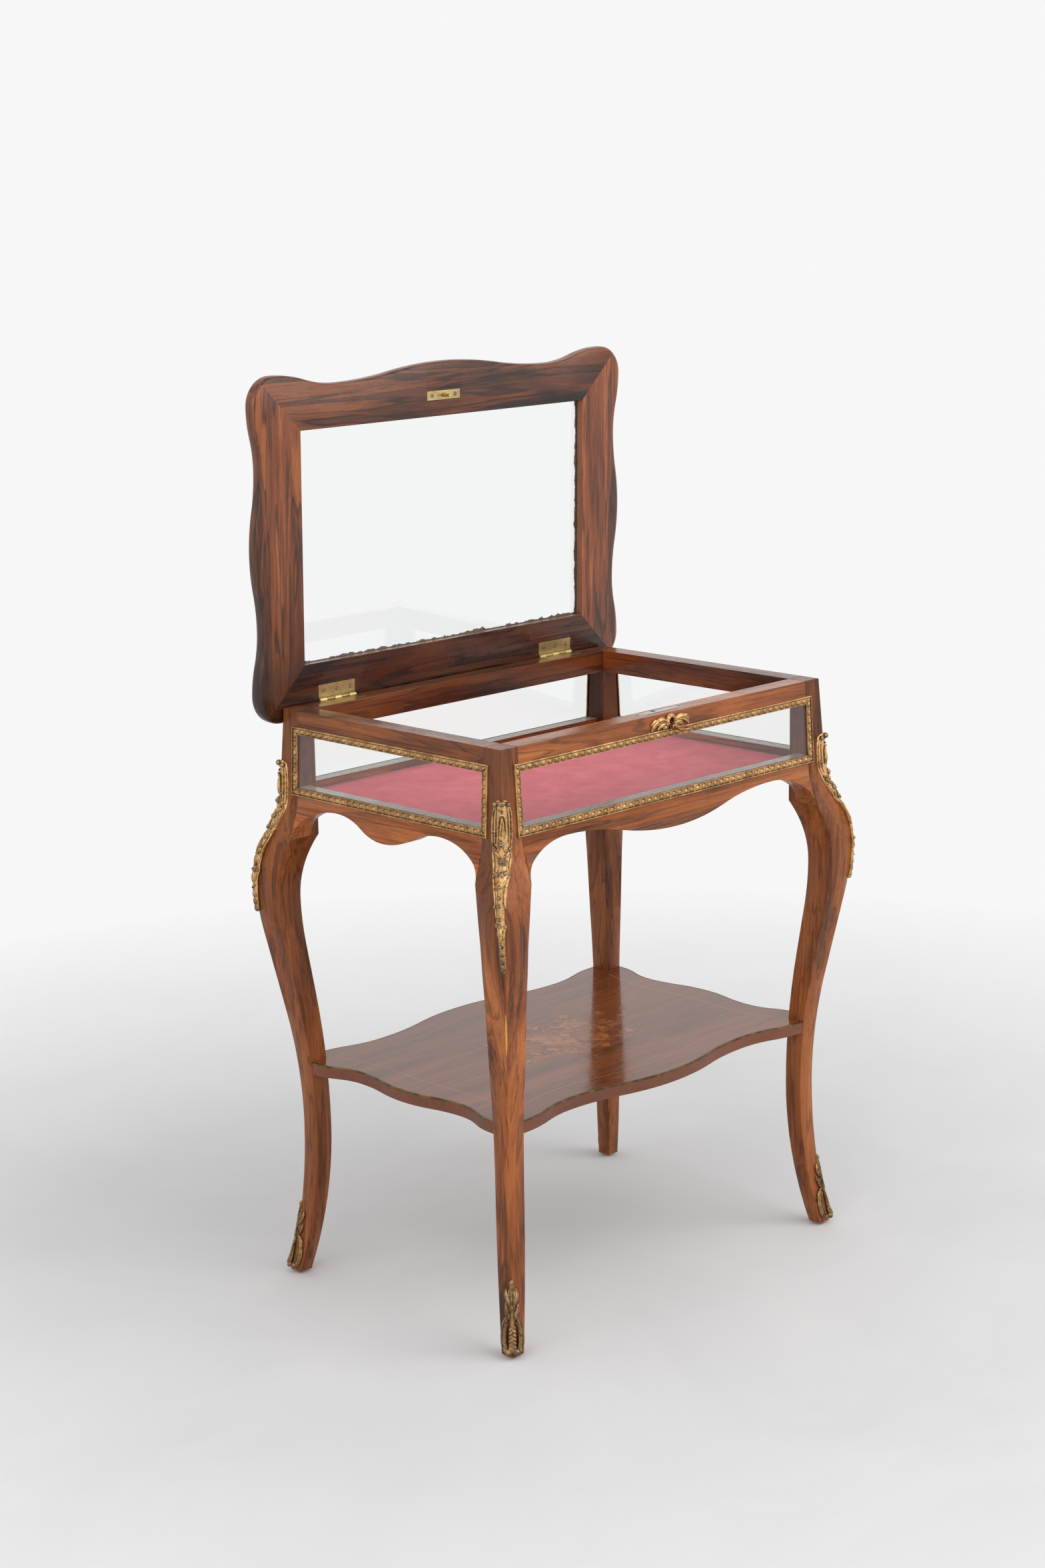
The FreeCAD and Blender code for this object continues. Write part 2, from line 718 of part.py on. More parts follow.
def hinge_pocket(middle, low, high):
    """Room for a leaf and for the barrel in the wood."""
    half = hinge_length / 2 + fit
    leaf = box(Vector(middle - half, leaf_inner - fit, low), Vector(middle + half, pin_y, high))
    centre = Vector(middle - half - barrel_room, pin_y, pin_z)
    barrel = rod(barrel_radius + 2 * barrel_room, 2 * (half + barrel_room), centre, along_x)
    return [leaf, barrel]


case_own = range(1, knuckle_count, 2)
lid_own = range(0, knuckle_count, 2)
leaf_screw_y = (leaf_inner + leaf_outer) / 2
case_pockets, lid_pockets = [], []
case_leaves, lid_leaves = [], []
case_screws, lid_screws = [], []
for middle in (-hinge_spread / 2, hinge_spread / 2):
    step = hinge_length / 2 - screw_margin
    case_points = [Vector(middle + move, leaf_screw_y, rim_height) for move in (-step, 0, step)]
    lid_points = [Vector(point.x, point.y, lid_base) for point in case_points]
    case_set = screws_at(case_points)
    lid_set = screws_at(lid_points, True)
    case_leaf = hinge_leaf(middle, rim_height - leaf_thickness, rim_height, case_own)
    case_leaves.append(fused([case_leaf, hinge_pin(middle, pin_radius)]).cut(case_set))
    lid_leaf = hinge_leaf(middle, lid_base, lid_base + leaf_thickness, lid_own)
    lid_leaves.append(lid_leaf.cut(lid_set + [hinge_pin(middle, pin_bore)]))
    case_pockets += hinge_pocket(middle, rim_height - leaf_thickness - fit, lid_base) + case_set
    lid_pockets += hinge_pocket(middle, rim_height, lid_base + leaf_thickness + fit) + lid_set
    case_screws += case_set
    lid_screws += lid_set
save("hinge_case_leaves", Part.makeCompound(case_leaves))
save("hinge_lid_leaves", open_lid(Part.makeCompound(lid_leaves)))
save("hinge_case_screws", Part.makeCompound(case_screws))
save("hinge_lid_screws", open_lid(Part.makeCompound(lid_screws)))

# Strike: a plate with a necked stud under the front of the lid
stud_y = stud_inset - half_depth
stud_foot = lid_base - stud_length
neck_low = stud_foot + stud_head_height
neck_high = neck_low + stud_neck_height
strike_half = Vector(strike_length / 2, strike_width / 2, 0)
stud_axis = Vector(stud_x, stud_y, 0)
strike_low = stud_axis - strike_half
strike_high = stud_axis + strike_half
strike_plate = box(strike_low + along_z * lid_base, strike_high + along_z * (lid_base + strike_thickness))
strike_step = strike_length / 2 - screw_margin
strike_points = [Vector(stud_x + step, stud_y, lid_base) for step in (-strike_step, strike_step)]
strike_set = screws_at(strike_points, True)
stud = eight_sided([
    (stud_radius, stud_foot),
    (stud_radius, neck_low),
    (stud_neck_radius, neck_low + fit),
    (stud_neck_radius, neck_high - fit),
    (stud_radius, neck_high),
    (stud_radius, lid_base + strike_thickness / 2),
])
save("strike_plate", open_lid(fused([strike_plate, stud.translated(stud_axis)]).cut(strike_set)))
save("strike_screws", open_lid(Part.makeCompound(strike_set)))
strike_room = Vector(fit, fit, 0)
strike_pocket = box(
    strike_low - strike_room + along_z * lid_base,
    strike_high + strike_room + along_z * (lid_base + strike_thickness + fit),
)

# Lid frame: two rails and two stiles, mitred at the corners of the opening
mitre_reach = (lid_width - lid_opening_width) / 2 + lid_corner_radius
near_x = lid_opening_width / 2
near_y = lid_opening_depth / 2
far_x = near_x + mitre_reach
far_y = near_y + mitre_reach
members = {
    "lid_rail_front": [(-near_x, -near_y), (near_x, -near_y), (far_x, -far_y), (-far_x, -far_y)],
    "lid_rail_back": [(-near_x, near_y), (near_x, near_y), (far_x, far_y), (-far_x, far_y)],
    "lid_stile_left": [(-near_x, -near_y), (-near_x, near_y), (-far_x, far_y), (-far_x, -far_y)],
    "lid_stile_right": [(near_x, -near_y), (near_x, near_y), (far_x, far_y), (far_x, -far_y)],
}
for name, plan in members.items():
    wedge = prism([Vector(x, y, lid_base) for x, y in plan], Vector(0, 0, lid_thickness))
    member = lid_board.common(wedge).cut(lid_pockets + strike_set + [strike_pocket])
    save(name, open_lid(largest(member)))

save("lid_glass", open_lid(lid_block(lid_rebate - fit, rebate_floor, glass_top)))
putty_top = lid_top - lid_putty_drop
slope = []
for grow, height in ((-lid_putty_lap, glass_top), (lid_rebate - lid_putty_drop, putty_top)):
    x = lid_opening_width / 2 + grow
    y = lid_opening_depth / 2 + grow
    loop = [Vector(-x, -y, height), Vector(x, -y, height), Vector(x, y, height), Vector(-x, y, height)]
    slope.append(Part.makePolygon(loop + loop[:1]))
putty = lid_block(lid_rebate - fit, glass_top, putty_top).cut(Part.makeLoft(slope, True, True))
save("lid_putty", open_lid(putty))


# Lock let into the front rail from above, with its bolt, key and escutcheon
def lock_block(room, low, high):
    half = lock_width / 2 + room
    front = lock_inset - half_depth
    return box(Vector(-half, front - room, low), Vector(half, front + lock_depth + room, high))


def keyhole(room, near, far):
    """Round hole with a slot above it for the bit, from one depth to another."""
    hole = rod(key_radius + room, far - near, Vector(0, near, key_z), along_y)
    half = key_bit_thickness / 2 + room / 2
    slot = box(Vector(-half, near, key_z), Vector(half, far, key_z + key_bit_length + room))
    return fused([hole, slot])


lock_top = rim_height - selvedge_thickness
lock_low = lock_top - lock_height
lock_front = lock_inset - half_depth
lock_middle = lock_front + lock_depth / 2
keyhole_front = -half_depth - 2 * side_lean
lock_case = lock_block(0, lock_low, lock_top).cut(lock_block(-lock_wall, lock_low + lock_wall, lock_top))
save("lock_case", lock_case.cut(keyhole(keyhole_room, keyhole_front, lock_front + 2 * lock_wall)))

selvedge_half = Vector(selvedge_length / 2, selvedge_width / 2, 0)
selvedge_centre = Vector(0, lock_middle, 0)
stud_hole_low = Vector(stud_x, stud_y, lock_top - lock_wall)
stud_hole = rod(stud_radius + 2 * lock_play, lock_height, stud_hole_low, along_z)
selvedge_step = (selvedge_length - screw_margin) / 2
selvedge_points = [Vector(step, lock_middle, rim_height) for step in (-selvedge_step, selvedge_step)]
selvedge_set = screws_at(selvedge_points)
selvedge = box(
    selvedge_centre - selvedge_half + along_z * lock_top,
    selvedge_centre + selvedge_half + along_z * rim_height,
)
save("lock_selvedge", selvedge.cut(selvedge_set + [stud_hole]))
save("selvedge_screws", Part.makeCompound(selvedge_set))
lock_pockets = [
    lock_block(fit, lock_low - fit, rim_height),
    selvedge,
    keyhole(2 * keyhole_room, keyhole_front, lock_front),
]
rails["front"] = rails["front"].cut(lock_pockets + selvedge_set)
rails["back"] = rails["back"].cut(case_pockets)
for side, rail in rails.items():
    save(f"top_rail_{side}", largest(rail))

bolt_back = lock_front + lock_depth - lock_wall - lock_play / 2
bolt_front = bolt_back - bolt_plate
bit_near = lock_front + lock_wall + lock_play
bit_far = bit_near + key_bit_width
fork_left = stud_x + stud_radius + lock_play
fork_right = talon_side + talon_width
fork_low = neck_low + lock_play
fork_high = neck_high - lock_play
talon_top = key_z - key_bit_length / 2
talon_low = talon_top - talon_height
notch_half = stud_neck_radius + lock_play
notch_depth = stud_x - fork_left + bolt_travel + notch_half
notch = box(
    Vector(fork_left, stud_y - notch_half, fork_low),
    Vector(fork_left + notch_depth, stud_y + notch_half, fork_high),
)
fork_front = stud_y - stud_radius - lock_play
bolt_pieces = [
    box(Vector(fork_left, bolt_front, talon_low), Vector(fork_right, bolt_back, fork_high)),
    box(Vector(fork_left, fork_front, fork_low), Vector(fork_right, bolt_front, fork_high)),
    box(Vector(talon_side - talon_width, bit_near, talon_low), Vector(talon_side, bolt_front, talon_top)),
]
save("lock_bolt", fused(bolt_pieces).cut(notch))

ball_y = -half_depth - key_proud
shank = rod(key_radius, bit_far - ball_y, Vector(0, ball_y, key_z), along_y)
ball = eight_sided([
    (key_ball_radius / 2, -key_ball_radius),
    (key_ball_radius, -key_ball_radius / 2),
    (key_ball_radius, key_ball_radius / 2),
    (key_ball_radius / 2, key_ball_radius),
])
ball.Placement = FreeCAD.Placement(Vector(0, ball_y, key_z), FreeCAD.Rotation(along_z, along_y))
bit = box(
    Vector(0, bit_near, key_z - key_bit_thickness / 2),
    Vector(key_bit_length, bit_far, key_z + key_bit_thickness / 2),
)
bow_centre = Vector(0, ball_y - key_ball_radius - key_bow_length / 2 + key_bow_band, key_z - key_bow_band / 2)


def bow_face(inset):
    """Oval of the key's bow, drawn in by inset."""
    turns = [math.radians(30 * number + 15) for number in range(12)]
    x = key_bow_width / 2 - inset
    y = key_bow_length / 2 - inset
    points = [bow_centre + Vector(x * math.cos(turn), y * math.sin(turn), 0) for turn in turns]
    return Part.Face(Part.makePolygon(points + points[:1]))


bow = bow_face(0).cut(bow_face(key_bow_band)).extrude(Vector(0, 0, key_bow_band))
save("key", fused([shank, ball, bit, bow]))

# Escutcheon: a lobed shell round the keyhole and a leaf to each side, drawn as shares of their reach and rise
leaf_shape = [
    (0.08, 0.2),
    (0.2, 0.72),
    (0.42, 1.0),
    (0.7, 0.8),
    (1.0, 0.12),
    (0.72, 0.32),
    (0.48, 0.44),
    (0.28, 0.08),
]
leaf_base = Vector(0, 0, key_z - rim_height)
leaf = prism(
    [leaf_base + Vector(share * escutcheon_reach, 0, rise * escutcheon_rise) for share, rise in leaf_shape],
    Vector(0, -escutcheon_thickness, 0),
)
lobe_side = [(0.7, 0.0), (1.0, 0.3), (1.0, 0.65), (0.5, 1.0)]
lobe_shape = lobe_side + [(-share, rise) for share, rise in reversed(lobe_side)]
lobe_foot = Vector(0, 0, escutcheon_margin - frame_drop)
lobe_rise = frame_drop - escutcheon_margin - fit
lobe = prism(
    [lobe_foot + Vector(share * escutcheon_half, 0, rise * lobe_rise) for share, rise in lobe_shape],
    Vector(0, -escutcheon_thickness, 0),
)
escutcheon = leaned(fused([lobe, leaf, leaf.mirror(origin, along_x)]), half_depth)
save("escutcheon", largest(escutcheon.cut(keyhole(keyhole_room, keyhole_front, 0))))
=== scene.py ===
"""Looks of a glazed display table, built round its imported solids. Metres, +Z up, -Y is the front."""
import json
import math
import bmesh
import bpy
import numpy as np
from mathutils import Matrix, Vector

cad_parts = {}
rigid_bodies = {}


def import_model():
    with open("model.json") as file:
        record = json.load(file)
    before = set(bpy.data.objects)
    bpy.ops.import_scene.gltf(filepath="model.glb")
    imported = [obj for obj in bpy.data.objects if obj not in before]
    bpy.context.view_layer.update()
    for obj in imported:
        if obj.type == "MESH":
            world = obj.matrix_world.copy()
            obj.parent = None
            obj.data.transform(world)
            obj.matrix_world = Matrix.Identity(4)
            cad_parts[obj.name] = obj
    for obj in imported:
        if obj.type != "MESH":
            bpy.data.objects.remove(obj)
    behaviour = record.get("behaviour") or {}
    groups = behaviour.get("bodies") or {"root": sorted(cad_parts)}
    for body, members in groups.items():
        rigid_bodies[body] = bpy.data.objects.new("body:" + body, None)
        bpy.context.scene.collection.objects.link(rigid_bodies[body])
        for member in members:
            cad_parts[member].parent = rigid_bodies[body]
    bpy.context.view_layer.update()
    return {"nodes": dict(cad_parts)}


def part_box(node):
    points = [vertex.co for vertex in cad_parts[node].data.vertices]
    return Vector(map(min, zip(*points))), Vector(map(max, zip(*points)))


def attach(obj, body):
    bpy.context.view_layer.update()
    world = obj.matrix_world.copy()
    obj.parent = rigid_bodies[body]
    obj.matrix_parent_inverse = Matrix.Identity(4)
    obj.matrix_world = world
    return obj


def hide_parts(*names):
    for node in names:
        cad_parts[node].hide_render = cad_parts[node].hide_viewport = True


for thing in list(bpy.data.objects):
    bpy.data.objects.remove(thing)
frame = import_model()
mm = 0.001


# Legs: four cabriole legs, each sawn to the same curve on two faces, in one piece with its corner post.
# They are veneered in rosewood with the grain up the leg, polished, and worn soft along the corners.
def add(tree, kind, inputs=None, **settings):
    """Adds a node, sets its values and links what comes into it."""
    made = tree.nodes.new("ShaderNode" + kind)
    for name, value in settings.items():
        setattr(made, name, value)
    for name, value in (inputs or {}).items():
        if isinstance(value, bpy.types.NodeSocket):
            tree.links.new(value, made.inputs[name])
        else:
            made.inputs[name].default_value = value
    return made


def socket_named(word):
    """The shader's own name for a value."""
    return word.replace("_", " ").title().replace("Ior", "IOR")


def finish(name, **values):
    """A new surface with its plain values set on the shader itself."""
    surface = bpy.data.materials.new(name)
    surface.use_nodes = True
    shader = surface.node_tree.nodes["Principled BSDF"]
    for word, value in values.items():
        shader.inputs[socket_named(word)].default_value = value
    return surface, surface.node_tree, shader


def feed(tree, shader, **sources):
    """Leads what varies over a surface to its shader."""
    for word, source in sources.items():
        tree.links.new(source, shader.inputs[socket_named(word)])


def place_of(tree, scale=(1, 1, 1), shift=(0, 0, 0)):
    """Places on the piece itself, stretched and shifted."""
    spot = add(tree, "TexCoord").outputs["Object"]
    return add(tree, "Mapping", {"Vector": spot, "Scale": scale, "Location": shift}).outputs["Vector"]


def noise(tree, place, scale, detail=4.0, roughness=0.55, distortion=0.0):
    """Clouds, as a value from 0 to 1."""
    values = {"Vector": place, "Scale": scale, "Detail": detail}
    values.update({"Roughness": roughness, "Distortion": distortion})
    return add(tree, "TexNoise", values).outputs["Fac"]


def maths(tree, operation, first, second=0.0, clamp=False):
    """One step of arithmetic."""
    return add(tree, "Math", {0: first, 1: second}, operation=operation, use_clamp=clamp).outputs[0]


def summed(tree, *shares):
    """Values added up, each with its weight."""
    total = None
    for value, weight in shares:
        weighted = maths(tree, "MULTIPLY", value, weight)
        total = weighted if total is None else maths(tree, "ADD", total, weighted)
    return total


def spread(tree, value, low, high, first=0.0, last=1.0):
    """Carries one range of a value over to another."""
    values = {"Value": value, "From Min": low, "From Max": high, "To Min": first, "To Max": last}
    return add(tree, "MapRange", values).outputs["Result"]


def ramp(tree, value, stops):
    """Colours along a value."""
    made = add(tree, "ValToRGB", {"Fac": value})
    line = made.color_ramp
    line.elements.remove(line.elements[1])
    line.elements[0].position = stops[0][0]
    line.elements[0].color = (*stops[0][1], 1)
    for where, colour in stops[1:]:
        line.elements.new(where).color = (*colour, 1)
    return made.outputs["Color"]


def mixed(tree, share, first, second):
    """One colour over another."""
    made = add(tree, "Mix", data_type="RGBA")
    for number, value in ((0, share), (6, first), (7, second)):
        if isinstance(value, bpy.types.NodeSocket):
            tree.links.new(value, made.inputs[number])
        else:
            made.inputs[number].default_value = value if number == 0 else (*value, 1)
    return made.outputs[2]


def bump(tree, shader, height, strength, distance):
    """Fine relief in the surface's shading."""
    values = {"Height": height, "Strength": strength, "Distance": distance}
    feed(tree, shader, normal=add(tree, "Bump", values).outputs["Normal"])


def facing(tree, axis):
    """How far the surface faces along an axis, from -1 to 1."""
    return add(tree, "SeparateXYZ", {"Vector": add(tree, "TexCoord").outputs["Normal"]}).outputs[axis]


def height_of(tree):
    """Height above the floor."""
    return add(tree, "SeparateXYZ", {"Vector": add(tree, "TexCoord").outputs["Object"]}).outputs["Z"]


def stain_and_shade(tree, shader, share, colour):
    """Lays one more colour over what the surface has so far; used for real stains and putty as well as for
    painted shade and reflection.
    """
    so_far = shader.inputs["Base Color"].links[0].from_socket
    feed(tree, shader, base_color=mixed(tree, share, so_far, colour))


def veneer(name, grain, tones, shift, gloss=0.26, shine=0.4, faced=False, veined=0.5):
    """Polished rosewood: bands, dark growth lines and fine pores along the grain, and marks in the polish."""
    surface, tree, shader = finish(name, specular_ior_level=shine)
    spot = place_of(tree, (1, 1, 1), shift)
    if faced:
        sheet = maths(tree, "GREATER_THAN", *[maths(tree, "ABSOLUTE", facing(tree, axis)) for axis in "XY"])
        spot = add(tree, "VectorMath", {0: spot, 1: sheet}, operation="ADD").outputs["Vector"]

    def along(share):
        """Places drawn out along the grain."""
        stretch = [1.0, 1.0, 1.0]
        stretch["xyz".index(grain)] = share
        return add(tree, "Mapping", {"Vector": spot, "Scale": stretch}).outputs["Vector"]

    darkest = tones[0][1]
    patches = noise(tree, along(0.22), 13, 2, 0.5, 0.9)
    bands = noise(tree, along(0.07), 36, 2, 0.5, 0.6)
    streaks = noise(tree, along(0.03), 130, 4, 0.6, 0.5)
    lines = noise(tree, along(0.04), 480, 3, 0.65, 0.3)
    pores = noise(tree, along(0.05), 1500, 2, 0.5)
    swing = maths(tree, "SINE", summed(tree, (bands, 42.0), (streaks, 5.0)))
    veins = spread(tree, swing, 0.6, 1.0, 0.0, veined)
    figure = summed(tree, (patches, 0.42), (bands, 0.32), (streaks, 0.26))
    figure = maths(tree, "ADD", figure, spread(tree, lines, 0.3, 0.7, -0.045, 0.045))
    colour = mixed(tree, veins, ramp(tree, figure, tones), darkest)
    pits = spread(tree, pores, 0.58, 0.7)
    colour = mixed(tree, maths(tree, "MULTIPLY", pits, 0.45), colour, darkest)
    marks = noise(tree, spot, 34, 5, 0.7)
    rough = spread(tree, marks, 0.35, 0.7, gloss - 0.06, gloss + 0.1)
    rough = maths(tree, "ADD", rough, maths(tree, "MULTIPLY", pits, 0.1))
    feed(tree, shader, base_color=colour, roughness=rough)
    bump(tree, shader, maths(tree, "SUBTRACT", lines, pits), 0.1, 0.0003)
    return surface, tree, shader


sharp_corner = math.radians(40)


def clad(node, surface, edge=0.0):
    """Gives a solid its surface, and rounds its corners as far as they are worn."""
    piece = frame["nodes"][node]
    piece.data.materials.clear()
    piece.data.materials.append(surface)
    if edge:
        piece.modifiers.new("joined faces", "WELD").merge_threshold = 1e-5
        worn = piece.modifiers.new("worn corners", "BEVEL")
        worn.width = edge
        worn.segments = 2
        worn.limit_method = "ANGLE"
        worn.angle_limit = sharp_corner
        worn.use_clamp_overlap = False
        worn.harden_normals = True


def with_painted_light(tones, share):
    """The same wood, darker or lighter, for painted light and shade."""
    return [(where, tuple(share * value for value in colour)) for where, colour in tones]


warm_tones = [
    (0.36, (0.055, 0.022, 0.013)),
    (0.43, (0.180, 0.055, 0.019)),
    (0.51, (0.325, 0.096, 0.028)),
    (0.62, (0.470, 0.152, 0.042)),
]
corners = {"front_left": (-1, -1), "front_right": (1, -1), "back_left": (-1, 1), "back_right": (1, 1)}
# Painted light and shade: each leg gets a darker or lighter copy of the same wood, the front left lightest
# and the back legs darkest.
leg_painted_light = {"front_left": 1.08, "front_right": 0.85, "back_left": 0.74, "back_right": 0.68}
leg_wear = 1.0 * mm
# Each leg's wood is darker towards the top of its post.
post_darkening = (640 * mm, 690 * mm)
knee_stain = (490 * mm, 580 * mm)
for number, (corner, share) in enumerate(leg_painted_light.items()):
    tones = with_painted_light(warm_tones, share)
    shift = (0.31 * number, 0.17, 0.4)
    surface, tree, shader = veneer(f"rosewood up the {corner} leg", "z", tones, shift, shine=0.2, faced=True)
    height = height_of(tree)
    darkening = spread(tree, height, *post_darkening, 0.0, 0.45)
    if corner == "front_left":
        outer_face = maths(tree, "LESS_THAN", facing(tree, "X"), -0.6)
        darker = maths(tree, "MULTIPLY", spread(tree, height, *knee_stain, 0.0, 0.7), outer_face)
        darkening = maths(tree, "MAXIMUM", darkening, darker)
    stain_and_shade(tree, shader, darkening, tones[0][1])
    clad(f"leg_{corner}", surface, leg_wear)


# Rails and aprons: they join the posts above and below the glass, veneered in rosewood along their length.
# The aprons are sawn to a serpentine lower edge and bowed out like the legs.
# Pale grey is painted along their upper edge: partly putty where the glass is bedded, partly a painted
# reflection on these ledges.
putty_and_ledge_sheen = (0.46, 0.41, 0.36)
# Painted light and shade: each rail gets a darker or lighter copy of the same wood, the back rail darkest.
rail_painted_light = {"front": 1.0, "right": 0.75, "back": 0.42, "left": 0.72}
rail_wear = 0.7 * mm
for number, (side, share) in enumerate(rail_painted_light.items()):
    grain = "x" if side in ("front", "back") else "y"
    tones = with_painted_light(warm_tones, share)
    shift = (0.2, 0.23 * number, 0.9)
    surface, tree, shader = veneer(f"rosewood along the {side}", grain, tones, shift, 0.18, 0.25)
    clad(f"top_rail_{side}", surface, rail_wear)
    # Painted light: the left apron gets a lighter copy of the wood than the other aprons.
    tones = with_painted_light(warm_tones, 1.15 if side == "left" else 0.92)
    shift = (0.7, 0.5, 0.37 * number)
    surface, tree, shader = veneer(f"rosewood of the {side} apron", grain, tones, shift, shine=0.2)
    # Upward faces painted pale grey: putty, and a painted reflection on the ledge.
    stain_and_shade(tree, shader, spread(tree, facing(tree, "Z"), 0.8, 0.9, 0.0, 0.8), putty_and_ledge_sheen)
    clad(f"apron_{side}", surface, rail_wear)


# Panes: four sheets of old window glass, in rebates of the posts and rails behind the brass frames.
# Old glass is faintly green and slightly uneven.
def old_glass(name):
    """Clear old glass."""
    tint = (0.965, 0.985, 0.98, 1)
    surface, tree, shader = finish(name, base_color=tint, transmission_weight=1.0, ior=1.45, roughness=0.0)
    bump(tree, shader, noise(tree, place_of(tree), 6, 1), 0.03, 0.002)
    return surface


pane_glass = old_glass("old window glass")
for side in ("front", "right", "back", "left"):
    clad(f"pane_{side}", pane_glass)


# Brass frames: strips pressed with a row of eggs, their round ends to the glass, in raised borders with darts
# between them, inside a notched rim.
# Four to a side, mitred at the corners and set over the edges of the glass.
def gilt(name, bright, dull, dark, reach, rough=0.4, cast=0.0, hollows=(0.35, 0.92)):
    """Gilt brass: gold rubbed on what stands out, darker in its recesses (partly brown patina, partly painted
    shade), lumps where it is cast.
    """
    surface, tree, shader = finish(name, metallic=1.0)
    hollow = add(tree, "AmbientOcclusion", {"Distance": reach}, samples=8, only_local=True).outputs["AO"]
    patches = noise(tree, place_of(tree), 60, 5, 0.65)
    grit = noise(tree, place_of(tree), 1600, 3, 0.6)
    lumps = noise(tree, place_of(tree), 230, 2, 0.5)
    gold = mixed(tree, spread(tree, patches, 0.4, 0.62), dull, bright)
    shade = spread(tree, hollow, *hollows)
    shade = maths(tree, "ADD", shade, spread(tree, grit, 0.3, 0.7, -0.14, 0.14), True)
    shade = maths(tree, "ADD", shade, spread(tree, lumps, 0.34, 0.48, -0.55 * cast, 0.0), True)
    polish = spread(tree, shade, 0.0, 1.0, rough + 0.3, rough)
    feed(tree, shader, base_color=mixed(tree, shade, dark, gold), roughness=polish)
    relief = maths(tree, "ADD", grit, maths(tree, "MULTIPLY", lumps, 4 * cast))
    bump(tree, shader, relief, 0.3, 0.0002 + 0.0002 * cast)
    return surface


def mesh_of(name, points, faces):
    """Mesh from points and faces, with its doubled points joined and its faces turned outwards."""
    mesh = bpy.data.meshes.new(name)
    mesh.from_pydata([tuple(point) for point in points], [], [tuple(face) for face in faces])
    mesh.validate()
    shell = bmesh.new()
    shell.from_mesh(mesh)
    bmesh.ops.remove_doubles(shell, verts=shell.verts, dist=1e-7)
    bmesh.ops.recalc_face_normals(shell, faces=shell.faces)
    shell.to_mesh(mesh)
    shell.free()
    mesh.polygons.foreach_set("use_smooth", [True] * len(mesh.polygons))
    mesh.set_sharp_from_angle(angle=sharp_corner)
    return mesh


def placed(name, data):
    """A new object of the scene."""
    made = bpy.data.objects.new(name, data)
    bpy.context.scene.collection.objects.link(made)
    return made


def solid(name, points, faces, surface, body, slot, *nodes):
    """A new piece from points and faces, in place of solids of the frame."""
    mesh = mesh_of(name, points, faces)
    mesh.materials.append(surface)
    piece = placed(name, mesh)
    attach(piece, body)
    if nodes:
        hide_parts(*nodes)
    return piece


def joined(parts):
    """Several meshes as one."""
    points, faces, count = [], [], 0
    for some_points, some_faces in parts:
        points.append(np.asarray(some_points, float))
        faces += [[number + count for number in face] for face in some_faces]
        count += len(some_points)
    return np.concatenate(points), faces


def lofted(rows, closed_ends=True):
    """Skin over rows of points, each a closed loop; its ends stay open on a ring that meets its own start."""
    rows = np.asarray(rows, float)
    count, around = rows.shape[:2]
    faces = []
    for row in range(count - 1):
        for number in range(around):
            after = (number + 1) % around
            base = row * around
            faces.append([base + number, base + after, base + around + after, base + around + number])
    if closed_ends:
        faces.append(list(range(around))[::-1])
        faces.append([(count - 1) * around + number for number in range(around)])
    return rows.reshape(-1, 3), faces


rim_height = 760 * mm
half_width = 294 * mm
half_depth = 196 * mm
frame_top_drop, frame_foot_drop, splay = 20, 108, 6
lean = math.atan(splay / frame_foot_drop)
frame_top = frame_top_drop * mm / math.cos(lean)
frame_foot = frame_foot_drop * mm / math.cos(lean)
frame_inset = 19 * mm
# turn about the middle, distance from it, and half the length
sides = {
    "front": (0, half_depth, half_width),
    "right": (90, half_width, half_depth),
    "back": (180, half_depth, half_width),
    "left": (-90, half_width, half_depth),
}
strip_width = 10 * mm
egg_pitch = 11.3 * mm
steps_per_egg = 16
strip_rows = [0, 0.4, 0.9, 1.5, 1.9, 2.6, 3.4, 4.2, 5, 5.7, 6.3, 6.9, 7.4, 7.8, 8.1, 8.5, 8.9, 9.3, 9.7, 10]
strip_rows = np.array(strip_rows) * mm
rim_end, egg_middle, dart_end, lip_start = 1.7, 4.2, 7.2, 9.2
egg_radius = 4.0


def egg_relief(along, inward):
    """Height of the pressed strip: notched rim, eggs in raised borders with darts between them, thin lip."""
    inward = inward / mm
    along = along / mm
    pitch = egg_pitch / mm
    off = np.abs((along + pitch / 2) % pitch - pitch / 2)
    from_egg = np.hypot(off, np.maximum(inward - egg_middle, 0)) / egg_radius
    swell = 0.35 + 1.45 * np.clip((inward - rim_end) / 3.4, 0, 1)
    egg = swell * np.sqrt(np.clip(1 - from_egg ** 2, 0, 1))
    border = 0.95 * np.exp(-((from_egg - 1.24) / 0.12) ** 2)
    dart = 0.7 * np.clip(1 - (pitch / 2 - off) / 0.7, 0, 1) * (inward < dart_end)
    height = 1.1 + np.maximum(np.maximum(egg, border), dart)
    notch = 0.35 * np.maximum(0, np.cos(2 * math.pi * along / pitch * 4)) ** 2
    rim = 2.8 - notch * np.exp(-((inward - 1.1) / 0.6) ** 2) - 0.5 * np.exp(-(inward / 0.35) ** 2)
    lip = 1.75 - 0.5 * ((inward - 9.6) / 0.5) ** 2
    height = np.where(inward < rim_end, rim, np.where(inward > lip_start, lip, height))
    return height * mm


def pressed_strip(length):
    """Strip along X, mitred, its outer edge at y = 0 and its face towards +Z."""
    count = max(2, round(length / egg_pitch * steps_per_egg))
    rows = []
    for along in np.linspace(-length / 2, length / 2, count + 1):
        reach = length / 2 - strip_rows
        spots = np.clip(along, -reach, reach)
        heights = egg_relief(spots, strip_rows)
        face = np.stack([spots, -strip_rows, heights], 1)
        rear = np.array([[spots[-1], -strip_width, 0], [spots[0], 0, 0]])
        rows.append(np.concatenate([face, rear]))
    return lofted(rows)


